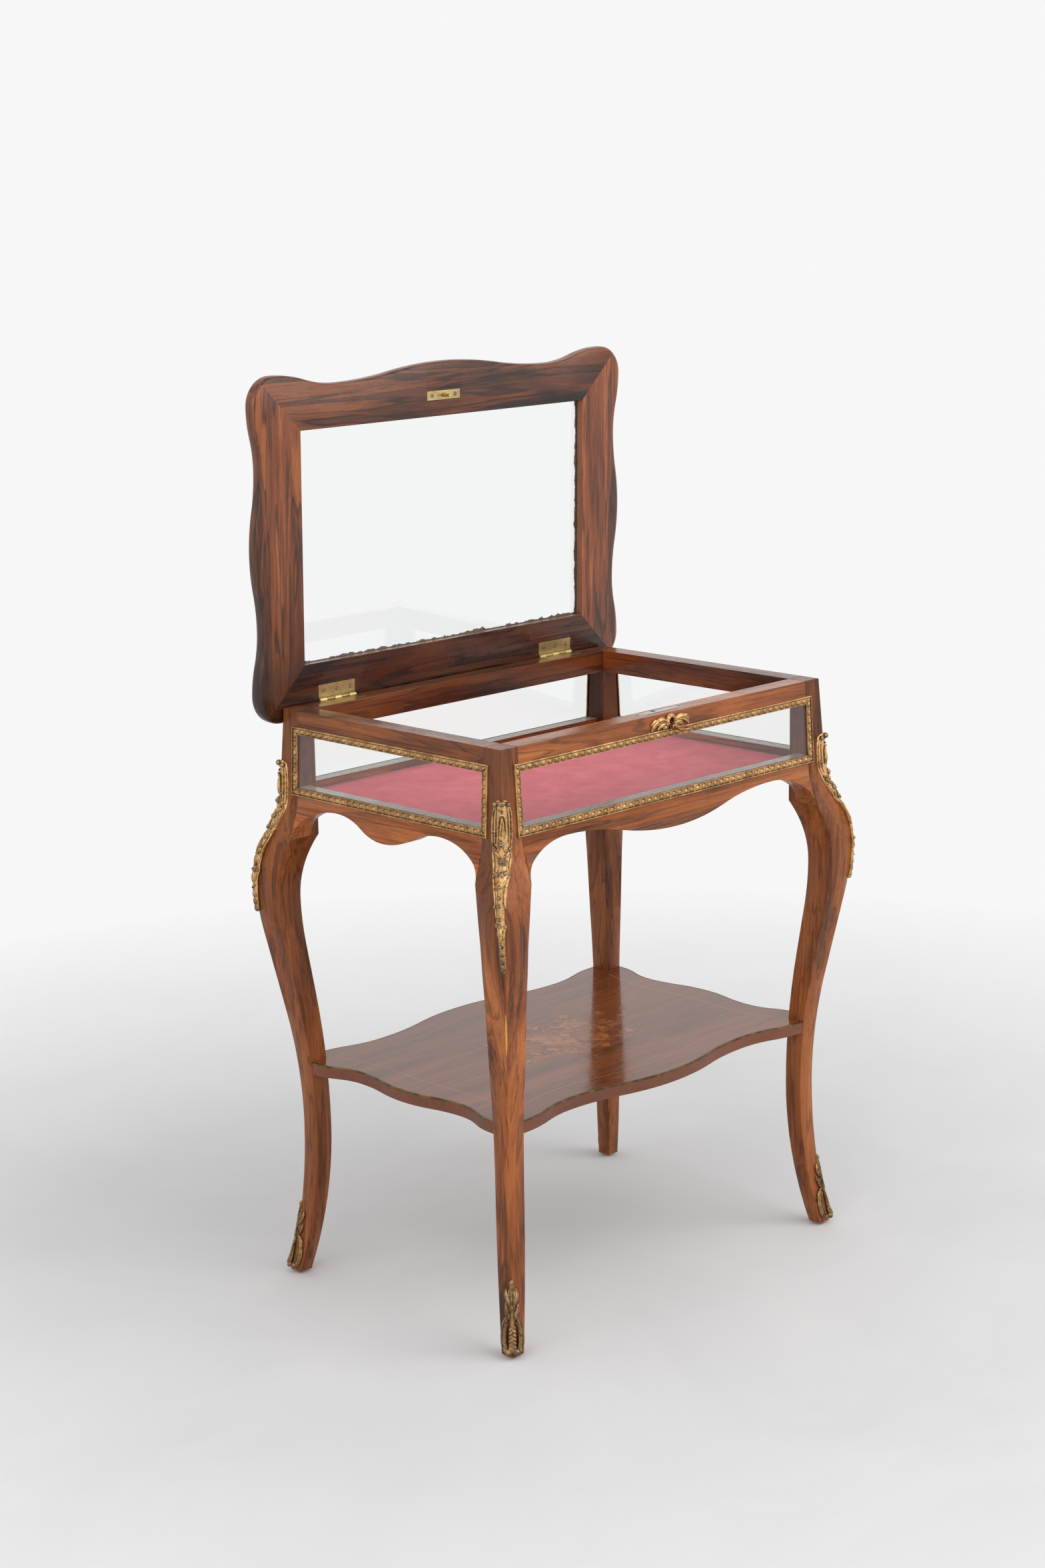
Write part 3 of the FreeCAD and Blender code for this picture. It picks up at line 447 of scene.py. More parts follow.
def on_side(points, side):
    """Carries points drawn on the rim line, x along, y down the face and z out of it, to a leaning side."""
    turn, reach, _ = sides[side]
    x, down, out = np.asarray(points, float).T
    y = -reach - out * math.cos(lean) + down * math.sin(lean)
    z = rim_height + down * math.cos(lean) - out * math.sin(lean)
    angle = math.radians(turn)
    cosine, sine = math.cos(angle), math.sin(angle)
    return np.stack([x * cosine - y * sine, x * sine + y * cosine, z], 1)


bright_gold = (0.66, 0.390, 0.176)
dull_gold = (0.36, 0.206, 0.090)
patina_and_shade_brown = (0.06, 0.036, 0.019)
# The frames' hollows are darkened strongly: partly brown patina, partly painted shade between the eggs and
# their borders.
frame_gold = gilt(
    "pressed gilt brass", bright_gold, dull_gold, patina_and_shade_brown, 2.6 * mm, rough=0.52, hollows=(0.52, 0.96)
)
for side, (_, _, half_span) in sides.items():
    half = half_span - frame_inset
    tall = (frame_foot - frame_top) / 2
    parts = []
    for turn, length, edge in ((0, half, tall), (1, tall, half), (2, half, tall), (3, tall, half)):
        points, faces = pressed_strip(2 * length)
        points[:, 1] += edge
        for _ in range(turn):
            points = np.stack([-points[:, 1], points[:, 0], points[:, 2]], 1)
        points[:, 1] -= frame_top + tall
        parts.append((on_side(points, side), faces))
    solid(f"egg_moulding_{side}", *joined(parts), frame_gold, "case", "gilt_brass", f"glazing_frame_{side}")


# Floor of the case: a thin board in a groove of the aprons, covered with rose velvet laid loose on it.
# The cloth has a short pile and lies in low wrinkles towards the front left corner.
board_tones = [(0.3, (0.16, 0.09, 0.045)), (0.7, (0.32, 0.2, 0.1))]
board_wood, tree, shader = veneer("plain floor board", "x", board_tones, (1, 2, 3))
clad("floor_panel", board_wood)
cloth_half = (277.4, 179.4)
corner_notch = 12
cloth_steps = (180, 116)
cloth_x, cloth_y = (
    np.concatenate([[-half], np.linspace(corner_notch - half, half - corner_notch, steps), [half]]) * mm
    for half, steps in zip(cloth_half, cloth_steps)
)
cloth_height = 652.0 * mm
# place across and along the table, heading in degrees, length, width and height in millimetres
wrinkles = [
    (-150, -96, 38, 120, 7, 1.5),
    (-95, -120, 30, 90, 6, 1.1),
    (-190, -40, 47, 100, 9, 1.2),
    (-40, -70, 25, 150, 10, 0.9),
    (60, -110, 12, 110, 9, 0.8),
    (150, 30, 62, 130, 12, 0.7),
    (-60, 90, -20, 160, 13, 0.7),
]
grid_x, grid_y = np.meshgrid(cloth_x, cloth_y, indexing="ij")
pile = 0.35 * mm * np.sin(grid_x * 31 + 2 * np.sin(grid_y * 17)) * np.cos(grid_y * 27 + grid_x * 9)
for x, y, turn, length, width, rise in wrinkles:
    angle = math.radians(turn)
    along = (grid_x / mm - x) * math.cos(angle) + (grid_y / mm - y) * math.sin(angle)
    off = (grid_y / mm - y) * math.cos(angle) - (grid_x / mm - x) * math.sin(angle) + 0.0012 * along ** 2
    pile += rise * mm * np.exp(-(off / width) ** 2 - (along / length) ** 2)
    pile -= 0.35 * rise * mm * np.exp(-((off - 1.8 * width) / width) ** 2 - (along / length) ** 2)
edge_room = np.minimum(cloth_half[0] * mm - np.abs(grid_x), cloth_half[1] * mm - np.abs(grid_y))
pile = np.maximum(pile, -0.4 * mm) * np.clip(edge_room / (15 * mm), 0, 1)
cloth_points = np.stack([grid_x, grid_y, cloth_height + pile], 2).reshape(-1, 3)
down_count = len(cloth_y)
cloth_faces = []
for across in range(len(cloth_x) - 1):
    for down in range(down_count - 1):
        if across in (0, len(cloth_x) - 2) and down in (0, down_count - 2):
            continue
        base = across * down_count + down
        cloth_faces.append([base, base + down_count, base + down_count + 1, base + 1])
rose_tones = [(0.34, (0.74, 0.090, 0.125)), (0.52, (0.84, 0.122, 0.160)), (0.68, (0.90, 0.175, 0.215))]
rose_sheen = (1.0, 0.55, 0.62, 1)
between_fibres = (0.36, 0.03, 0.06)
surface, tree, shader = finish("rose velvet", sheen_weight=0.26, sheen_roughness=0.35, sheen_tint=rose_sheen)
nap = noise(tree, place_of(tree), 26, 4, 0.6, 0.8)
fibres = noise(tree, place_of(tree), 2600, 2, 0.6)
rose = mixed(tree, spread(tree, fibres, 0.35, 0.65, 0.0, 0.22), ramp(tree, nap, rose_tones), between_fibres)
feed(tree, shader, base_color=rose, roughness=spread(tree, fibres, 0.3, 0.7, 0.72, 0.95))
bump(tree, shader, fibres, 0.4, 0.0003)
velvet = solid("velvet", cloth_points, cloth_faces, surface, "case", "velvet", "velvet_lining")
cloth = velvet.modifiers.new("cloth thickness", "SOLIDIFY")
cloth.thickness = 0.8 * mm
cloth.offset = 0


# Shelf: a serpentine board notched round the legs and doweled to them, veneered lengthwise in rosewood.
# A brass band, dull with age, is let into its upper edge.
shelf_tones = [
    (0.36, (0.110, 0.029, 0.008)),
    (0.43, (0.165, 0.043, 0.011)),
    (0.51, (0.210, 0.056, 0.014)),
    (0.62, (0.265, 0.076, 0.020)),
]
edge_brown = (0.135, 0.042, 0.018)
surface, tree, shader = veneer("rosewood of the shelf", "x", shelf_tones, (0.3, 0.8, 0.1), 0.08, 0.5)
# The shelf's sides are browner and duller than its top.
shelf_sides = spread(tree, facing(tree, "Z"), 0.3, 0.8, 1.0, 0.0)
stain_and_shade(tree, shader, maths(tree, "MULTIPLY", shelf_sides, 0.6), edge_brown)
polish = shader.inputs["Roughness"].links[0].from_socket
feed(tree, shader, roughness=maths(tree, "MAXIMUM", polish, maths(tree, "MULTIPLY", shelf_sides, 0.45)))
clad("shelf", surface)
band_brass = gilt("dull brass band", (0.24, 0.140, 0.06), (0.10, 0.06, 0.03), (0.03, 0.02, 0.012), 3 * mm)
clad("shelf_edge_band", band_brass)
clad("shelf_dowels", board_wood)


# Marquetry: a spray of flowers, leaves and stems in paler woods, sawn out and laid into the shelf,
# inside a fine line of orange wood that follows the shelf's edge.
def flowing(spots, count):
    """Smooth line through a few points."""
    spots = np.asarray(spots, float)
    ends = np.concatenate([[2 * spots[0] - spots[1]], spots, [2 * spots[-1] - spots[-2]]])
    line = []
    for place in np.linspace(0, len(spots) - 1, count):
        number = min(int(place), len(spots) - 2)
        t = place - number
        a, b, c, d = ends[number:number + 4]
        line.append(b + 0.5 * t * (c - a + t * (2 * a - 5 * b + 4 * c - d + t * (3 * b - a - 3 * c + d))))
    return np.array(line)


shelf_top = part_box("shelf")[1][2]
sunk = 0.2 * mm
face_rise, layer_rise = 0.005, 0.0004


def cut_out(outline, layer):
    """Thin piece of veneer from its outline, its face a hair above the shelf and what was laid before."""
    outline = np.asarray(outline, float)
    heights = (shelf_top - sunk, shelf_top + (face_rise + layer_rise * layer) * mm)
    return lofted([np.column_stack([outline * mm, np.full(len(outline), height)]) for height in heights])


def blade(root, heading, length, width, widest, bend=0.0):
    """Outline of a leaf or petal from its root."""
    share = np.linspace(0, 1, 10)
    half = width / 2 * np.sin(math.pi * share ** (math.log(0.5) / math.log(widest)))
    middle = np.column_stack([share * length, bend * share ** 2 * length])
    edge = np.column_stack([np.zeros(10), half])
    line = np.concatenate([middle + edge, (middle - edge)[-2:0:-1]])
    turn = math.radians(heading)
    return line @ np.array([[math.cos(turn), math.sin(turn)], [-math.sin(turn), math.cos(turn)]]) + root


def strand(line, width):
    """Outline of a thin stem along a line."""
    along = np.gradient(line, axis=0)
    aside = np.column_stack([-along[:, 1], along[:, 0]]) / np.linalg.norm(along, axis=1, keepdims=True)
    return np.concatenate([line + aside * width / 2, (line - aside * width / 2)[::-1]])


def inlay_wood(name, tones):
    """Pale veneer; each sawn piece has its own shade."""
    surface, tree, shader = finish(name, specular_ior_level=0.42)
    own_shade = add(tree, "NewGeometry").outputs["Random Per Island"]
    grain = noise(tree, place_of(tree, (0.15, 1, 1)), 900, 4, 0.6)
    figure = summed(tree, (own_shade, 0.6), (grain, 0.4))
    polish = spread(tree, grain, 0.3, 0.7, 0.1, 0.2)
    feed(tree, shader, base_color=ramp(tree, figure, tones), roughness=polish)
    return surface


heart = np.array([-14.0, 2.0])
heart_radius = 30
stem_width = 1.3
# place across and along the shelf from its middle, and radius, in millimetres
blossoms = [
    (50, 28, 20), (36, -36, 16), (-64, 32, 13), (-72, -20, 12), (90, -6, 12), (108, 36, 10), (2, 58, 12),
    (-30, -56, 11), (-112, 8, 9), (82, -48, 10), (-46, 62, 8), (-92, 50, 8), (-104, -38, 8), (16, -64, 9),
    (66, 60, 9), (124, 8, 8), (66, -12, 10), (-44, -32, 10), (-42, 36, 10), (22, 36, 10), (12, -30, 9),
]
double_from = 12
double_rings = ((1, 11), (0.7, 8), (0.4, 6))
single_rings = ((1, 6), (0.55, 4))
stems, foliage, petals = [], [], []
for number, (x, y, radius) in enumerate([(*heart, heart_radius)] + blossoms):
    centre = np.array([x, y], float)
    double = radius > double_from
    width, widest = (1.75, 0.68) if double else (1.25, 0.58)
    for ring, (share, count) in enumerate(double_rings if double else single_rings):
        for petal in range(count):
            heading = 360 / count * petal + 37 * number + 25 * ring
            length = radius * share * (1 + 0.16 * math.sin(5 * petal + number))
            petals.append(blade(centre, heading, length, width * length * math.sin(math.pi / count), widest))
    if number == 0:
        continue
    way = centre - heart
    swing = np.array([-way[1], way[0]]) * (0.22 if number % 2 else -0.22)
    line = flowing([heart, heart + 0.5 * way + swing, centre], 22)
    stems.append(strand(line, stem_width))
    for leaf_number, spot in enumerate(range(8, 21, 2)):
        along = line[spot + 1] - line[spot]
        side = 1 if leaf_number % 2 else -1
        heading = math.degrees(math.atan2(along[1], along[0])) + 52 * side
        foliage.append(blade(line[spot], heading, 12 + 0.4 * radius, 5.2 + radius / 8, 0.42, -0.15 * side))
tan_tones = [(0.2, (0.22, 0.066, 0.017)), (0.5, (0.34, 0.110, 0.030)), (0.8, (0.47, 0.175, 0.055))]
leaf_tones = [(0.2, (0.19, 0.056, 0.016)), (0.5, (0.28, 0.090, 0.026)), (0.8, (0.37, 0.135, 0.042))]
line_tones = [(0.3, (0.33, 0.115, 0.032)), (0.7, (0.44, 0.165, 0.05))]
woods = {}
layer = 0
for name, outlines, wood, tones in (
    ("inlaid_stems", stems, "orange veneer", line_tones),
    ("inlaid_leaves", foliage, "brown veneer", leaf_tones),
    ("inlaid_petals", petals, "tan veneer", tan_tones),
):
    cut_pieces = [cut_out(outline, layer + number) for number, outline in enumerate(outlines)]
    layer += len(outlines)
    woods[wood] = inlay_wood(wood, tones)
    solid(name, *joined(cut_pieces), woods[wood], "case", "inner_wood")

rim_points = np.array([vertex.co for vertex in frame["nodes"]["shelf"].data.vertices]) / mm
rim_points = rim_points[np.abs(rim_points[:, 2] - shelf_top / mm) < 6]
line_inset = 37.0
line_width = 1.4
near_edge = (250, 160)


def shelf_edge(place, along, across):
    """Distance of the shelf's edge from its middle line, at places along it."""
    far = rim_points[rim_points[:, across] > near_edge[across]]
    order = np.argsort(far[:, along])
    spots = np.round(far[order, along], 1)
    steps = np.unique(spots)
    reach = np.array([far[order, across][spots == spot].max() for spot in steps])
    return np.interp(place, steps, reach)


def eased(reach):
    """Takes the small steps out of a line."""
    for _ in range(3):
        reach = np.convolve(np.pad(reach, 4, mode="reflect", reflect_type="odd"), np.ones(9) / 9, "valid")
    return reach


corner = np.array([230.0, 140.0])
for _ in range(4):
    corner = np.array([shelf_edge(corner[1], 1, 0), shelf_edge(corner[0], 0, 1)]) - line_inset
long_side = np.linspace(-corner[0], corner[0], 60)
short_side = np.linspace(-corner[1], corner[1], 40)
front_line = np.column_stack([long_side, -(eased(shelf_edge(long_side, 0, 1)) - line_inset)])
right_line = np.column_stack([eased(shelf_edge(short_side, 1, 0)) - line_inset, short_side])
string_parts = []
for number, line in enumerate((front_line, right_line, -front_line, -right_line)):
    string_parts.append(cut_out(strand(line, line_width), number))
solid("stringing", *joined(string_parts), woods["orange veneer"], "case", "inner_wood")


# Pads: a disc of brown leather under each foot, fixed on from below.
# The hide is rough, and rubbed pale where the table has stood on it.
def raw(name, tones, cloud, rough, relief, stretch=(1, 1, 1), **values):
    """Dull surface whose colour, roughness and relief all follow one grain."""
    surface, tree, shader = finish(name, **values)
    grain = noise(tree, place_of(tree, stretch), *cloud)
    feed(tree, shader, base_color=ramp(tree, grain, tones), roughness=spread(tree, grain, 0.3, 0.7, *rough))
    bump(tree, shader, grain, *relief)
    return surface


hide_tones = [(0.3, (0.22, 0.15, 0.1)), (0.7, (0.5, 0.4, 0.31))]
hide = raw("worn leather pads", hide_tones, (900, 4, 0.6), (0.65, 0.9), (0.5, 0.0004))
clad("foot_glides", hide, 0.5 * mm)


# Lid frame: two rails and two stiles of rosewood, mitred, with a serpentine outline and a rounded edge.
# The glass lies in a rebate from above; the lid is drawn closed here and then swung open on its hinges.
lid_base = 760.4 * mm
lid_thick = 19 * mm
lid_half = (329.5, 219.5)
lid_opening = (254, 149)
lid_rebate = (6, 9)
lid_corner = 36
long_hollow, short_hollow = (190, 15.5), (103, 10)
pin = Vector((0, 198.5 * mm, 760.2 * mm))
open_angle = 88.5
swing_open = Matrix.Rotation(math.radians(-open_angle), 4, "X")
open_turn = Matrix.Translation(pin) @ swing_open @ Matrix.Translation(-pin)


def opened(points, turn=0):
    """Turns points about the middle of the closed lid, then swings them open with it."""
    way = Matrix.Rotation(math.radians(turn), 3, "Z")
    return [open_turn @ (way @ Vector(point)) for point in points]


def ogee(x, low, high):
    """Height at x of two equal arcs from one point to another, level at both."""
    (x0, y0), (x1, y1) = low, high
    half = (x1 - x0) / 2
    drop = (y1 - y0) / 2
    radius = (half ** 2 + drop ** 2) / (2 * abs(drop))
    sign = math.copysign(1, drop)
    if x - x0 <= half:
        return y0 + sign * (radius - math.sqrt(radius ** 2 - (x - x0) ** 2))
    return y1 - sign * (radius - math.sqrt(radius ** 2 - (x1 - x) ** 2))


def lid_edge(x, long_edge):
    """Distance of the outline from the lid's middle line, at a place along a long or a short edge."""
    reach, out = lid_half if long_edge else lid_half[::-1]
    hollow, dip = long_hollow if long_edge else short_hollow
    x = abs(x)
    if x <= hollow:
        return ogee(x, (0, out), (hollow, out - dip))
    if x <= reach - lid_corner:
        return ogee(x, (hollow, out - dip), (reach - lid_corner, out))
    return out - lid_corner + math.sqrt(max(0, lid_corner ** 2 - (x - reach + lid_corner) ** 2))


rounded_edge = [(5.5, 0), (3.4, 0.5), (1.7, 1.6), (0.5, 3.3), (0, 5.6)]
edge_profile = rounded_edge + [(inset, lid_thick / mm - height) for inset, height in rounded_edge[::-1]]
inner_bevel = 0.6


def lid_member(long_edge):
    """Member along X with its edge towards +Y, from mitre to mitre."""
    reach, out = lid_half if long_edge else lid_half[::-1]
    near_x, near_y = lid_opening if long_edge else lid_opening[::-1]
    straight = reach - lid_corner
    gap = (near_x - near_y) - straight + (out - lid_corner)
    end = straight + (math.sqrt(2 * lid_corner ** 2 - gap ** 2) + gap) / 2
    spots = np.concatenate([np.linspace(0, straight, 44), np.linspace(straight, end, 10)[1:]])
    wide, deep = lid_rebate
    top = lid_thick / mm
    step = top - deep
    rows = []
    for x in np.concatenate([-spots[:0:-1], spots]):
        outer = np.array([x, lid_edge(x, long_edge)])
        inner = np.array([x * near_x / end, near_y])
        inward = (inner - outer) / np.linalg.norm(inner - outer)
        outward = -inward / abs(inward[1])
        rebate = inner + outward * wide
        bevel = inner + outward * inner_bevel
        row = [(*(outer + inward * inset), height) for inset, height in edge_profile]
        row += [(*rebate, top), (*rebate, step), (*bevel, step)]
        row += [(*inner, step - inner_bevel), (*inner, inner_bevel), (*bevel, 0)]
        rows.append(row)
    points, faces = lofted(np.array(rows) * mm)
    points[:, 2] += lid_base
    return points, faces


dark_tones = [
    (0.38, (0.022, 0.012, 0.008)),
    (0.45, (0.095, 0.030, 0.014)),
    (0.52, (0.215, 0.060, 0.021)),
    (0.60, (0.370, 0.112, 0.034)),
]
# whether it lies along a long edge, turn, grain, painted light and shade, and the way from it to the glass
lid_parts = {
    "lid_rail_front": (True, 180, "x", 0.64, (0, 0, -1)),
    "lid_rail_back": (True, 0, "x", 0.38, (0, 0, 1)),
    "lid_stile_left": (False, 90, "z", 0.95, (1, 0, 0)),
    "lid_stile_right": (False, -90, "z", 1.12, (-1, 0, 0)),
}
inner_edge_brown = (0.30, 0.110, 0.042)
dark_below, plain_above = 800 * mm, 930 * mm
lid_pieces = {}
for number, (name, (long_edge, turn, grain, share, inward)) in enumerate(lid_parts.items()):
    tones = with_painted_light(dark_tones, share)
    shift = (0.15 * number, 1.3, 0.21 * number)
    surface, tree, shader = veneer(f"rosewood of {name}", grain, tones, shift, 0.24, 0.42, veined=0.75)
    # The left stile darkens towards its bottom: partly darker veneer, partly painted shade near the case.
    if name == "lid_stile_left":
        stain_and_shade(tree, shader, spread(tree, height_of(tree), dark_below, plain_above, 0.7, 0.0), tones[0][1])
    normal = add(tree, "TexCoord").outputs["Normal"]
    inner_face = add(tree, "VectorMath", {0: normal, 1: inward}, operation="DOT_PRODUCT").outputs["Value"]
    stain_and_shade(tree, shader, spread(tree, inner_face, 0.85, 0.95, 0.0, 0.75), inner_edge_brown)
    points, faces = lid_member(long_edge)
    lid_pieces[name] = solid(f"{name}_wood", opened(points, turn), faces, surface, "lid", "rosewood", name)


# Lid glass: one sheet of old glass, laid into the rebate of the lid's frame from above.
# A bead of putty holds it, pressed in by hand; it is lumpy and has run over the edge of the rebate.
clad("lid_glass", old_glass("old glass of the lid"))
putty_rng = np.random.default_rng(7)
putty_step = 1.6
glass_top = lid_base + 13 * mm
putty_parts = []
for long_edge, turn, run in ((True, 0, 1.1), (False, 90, 0.3), (True, 180, 0.2), (False, -90, 0.8)):
    near_x, near_y = lid_opening if long_edge else lid_opening[::-1]
    count = int(near_x * 2 / putty_step)
    lumps = putty_rng.normal(0, 1, count + 1)
    lumps = np.convolve(np.pad(lumps, 2, mode="edge"), np.ones(5) / 5, "valid") * 2.0
    rows = []
    for x, lump in zip(np.linspace(-near_x - 4, near_x + 4, count + 1), lumps):
        lap = run * (1.6 + max(-1.0, 1.4 * lump))
        thick = 3.6 + 0.7 * lump
        row = [(5.8, 0), (5.8, thick + 1.2), (3, thick), (-lap * 0.4, thick * 0.55)]
        row += [(-lap, 0.7), (-lap - 0.4, 0)]
        rows.append([(x, near_y + out, up) for out, up in row])
    points, faces = lofted(np.array(rows) * mm)
    points[:, 2] += glass_top
    putty_parts.append((opened(points, turn), faces))
putty_tones = [(0.3, (0.11, 0.09, 0.07)), (0.55, (0.24, 0.20, 0.16)), (0.75, (0.38, 0.33, 0.27))]
old_putty = raw("old putty", putty_tones, (420, 5, 0.65), (0.6, 0.9), (0.6, 0.0008))
solid("putty_bead", *joined(putty_parts), old_putty, "lid", "putty", "lid_putty")


# Knee mounts: rococo castings in gilt brass, one on the outer corner of each knee, held by two nails.
# Below three rolled knobs come a cartouche with a leaf, then flowers, buds and berries,
# a C-scroll and a chain of husks.
def ways_of(line):
    """Directions beside a line and out of it, for a casting drawn flat."""
    along = np.gradient(line, axis=0)
    along /= np.linalg.norm(along, axis=1, keepdims=True) + 1e-9
    beside = np.cross(along, (0, 0, 1))
    beside /= np.linalg.norm(beside, axis=1, keepdims=True) + 1e-9
    return beside, np.cross(beside, along)


def rib(spots, count, around=8):
    """Rounded rib through (across, up, out, radius) points."""
    line = flowing(spots, count)
    beside, outward = ways_of(line[:, :3])
    radius = np.maximum(line[:, 3], 0.15)[:, None, None]
    turns = np.linspace(0, 2 * math.pi, around, endpoint=False)[None, :, None]
    ring = np.cos(turns) * beside[:, None] + np.sin(turns) * outward[:, None]
    return lofted(line[:, None, :3] + radius * ring)


leaf_section = [(-1, 0), (-0.62, 0.5), (-0.2, 0.62), (0, 0.3), (0.2, 0.62), (0.62, 0.5), (1, 0)]
leaf_section += [(0.7, -0.5), (-0.7, -0.5)]


def leaf(spots, count):
    """Leaf with a sunk vein through (across, up, out, half width) points."""
    line = flowing(spots, count)
    beside, outward = ways_of(line[:, :3])
    half = np.maximum(line[:, 3], 0.15)[:, None]
    rows = [line[:, :3] + half * (aside * beside + rise * outward) for aside, rise in leaf_section]
    return lofted(np.stack(rows, 1))


def bead(spot, size, turn=0.0, around=10):
    """Rounded berry, bud or petal."""
    turn = math.radians(turn)
    rows = []
    for tilt in np.radians([-86, -55, -25, 5, 35, 60, 80, 88]):
        turns = np.linspace(0, 2 * math.pi, around, endpoint=False)
        x = size[0] * np.cos(turns) * math.cos(tilt)
        y = size[1] * np.sin(turns) * math.cos(tilt)
        level = np.full(around, size[2] * math.sin(tilt))
        turned_x = x * math.cos(turn) - y * math.sin(turn)
        turned_y = x * math.sin(turn) + y * math.cos(turn)
        rows.append(np.stack([turned_x, turned_y, level], 1) + np.asarray(spot, float))
    return lofted(rows)


petals_of_flower = 6


def flower(spot, radius, turn):
    """Round flower: petals about a button."""
    x, y, out = spot
    reach = 0.66 * radius
    parts = [bead(spot, (0.86 * radius, 0.86 * radius, 0.4 * radius), 0, 14)]
    parts.append(bead((x, y, out + 0.3 * radius), (0.46 * radius, 0.46 * radius, 0.42 * radius)))
    for number in range(petals_of_flower):
        angle = 360 / petals_of_flower * number + turn
        centre = (x + reach * math.cos(math.radians(angle)), y + reach * math.sin(math.radians(angle)), out)
        parts.append(bead(centre, (0.36 * radius, 0.38 * radius, 0.34 * radius), angle, 8))
    return parts


def plate(stations, thick, count):
    """Thin domed plate; stations are (up, reach to one side, reach to the other)."""
    line = flowing(stations, count)
    shares = np.array([-1, -0.93, -0.75, -0.5, -0.25, 0, 0.25, 0.5, 0.75, 0.93, 1])
    domed = thick * np.sqrt(1 - shares ** 4 * 0.97)
    rows = []
    for up, far_right, far_left in line:
        across = np.where(shares < 0, shares * max(far_right, 0.3), shares * max(far_left, 0.3))
        face = np.stack([across, np.full(len(shares), up), domed], 1)
        rear = np.array([[across[-1], up, -0.6], [across[0], up, -0.6]])
        rows.append(np.concatenate([face, rear]))
    return lofted(rows)


leg_points = np.array([vertex.co for vertex in frame["nodes"]["leg_back_right"].data.vertices])
leg_bow = leg_points[:, 0] - half_width
on_arris = (np.abs(leg_bow - (leg_points[:, 1] - half_depth)) < 1e-5) & (leg_bow > -6 * mm)
arris_order = np.argsort(leg_points[on_arris, 2])
arris_up = leg_points[on_arris, 2][arris_order]
arris_bow = leg_bow[on_arris][arris_order]
arris_radius = 3 * mm
drawn_out = 3 * mm


def wrapped(points, corner, drop=0.0, lift=0.0):
    """Carries a casting, drawn flat in millimetres and 3 mm off the wood, round the corner of a leg."""
    across, up, out = np.asarray(points, float).T * mm
    up = up - drop
    bow = np.interp(up, arris_up, arris_bow) + lift
    radius = arris_radius + drawn_out
    near = np.clip(across, -radius * math.pi / 4, radius * math.pi / 4)
    beyond = across - near
    turn = math.pi / 4 - near / radius
    x = half_width + bow - arris_radius + (arris_radius + out) * np.cos(turn) + np.minimum(beyond, 0)
    y = half_depth + bow - arris_radius + (arris_radius + out) * np.sin(turn) - np.maximum(beyond, 0)
    x_sign, y_sign = corners[corner]
    return np.stack([x * x_sign, y * y_sign, up], 1)


def four_times(casting, setting):
    """The same casting set on each of the four legs."""
    points, faces = casting
    return joined([(setting(points, corner), faces) for corner in corners])


def mirrored(spots):
    """A line of the other side of a casting."""
    return [(-spot[0], *spot[1:]) for spot in spots]


# height, and reach to each side of the leg's corner
cartouche = [
    (700.5, 7, 7), (698, 12.5, 12), (694, 15.4, 14.4), (684, 17.2, 16.2), (672, 18.2, 17.8),
    (652, 17.8, 18.6), (641, 16.6, 18.8), (634, 16, 17.8), (626, 14.2, 16.8), (618, 11.4, 16.4),
    (612, 11.6, 16.2), (606, 7.8, 15.8), (599, 5.6, 15.2), (590, 3.6, 14), (581, 2.6, 14.2),
    (574, 1.6, 13.8), (565, 1.6, 13.2), (558, 4.6, 14.4), (552, 2.6, 12), (545, 1.6, 10.6),
    (537, 1.6, 10.2), (525, 1.6, 8.4), (515, 2.4, 7.6), (506, 2.2, 6.4), (502, 0.8, 4),
]
mount_parts = [plate(cartouche, 2.4, 110)]
dark_parts = []
knobs = ((9.2, 695.6, 3.4, 3.4), (0, 697.4, 4.4, 3.9), (-9.2, 695.4, 3.4, 3.4))
for across, up, out, size in knobs:
    dark_parts.append(bead((across, up, out), (size, size, 0.95 * size)))
    ends = [(across + aside * size, up - 2.4, 2.0, 0.6) for aside in (-1, 1)]
    mount_parts.append(rib([ends[0], (across, up - size - 1.2, 3.0, 1.0), ends[1]], 10))
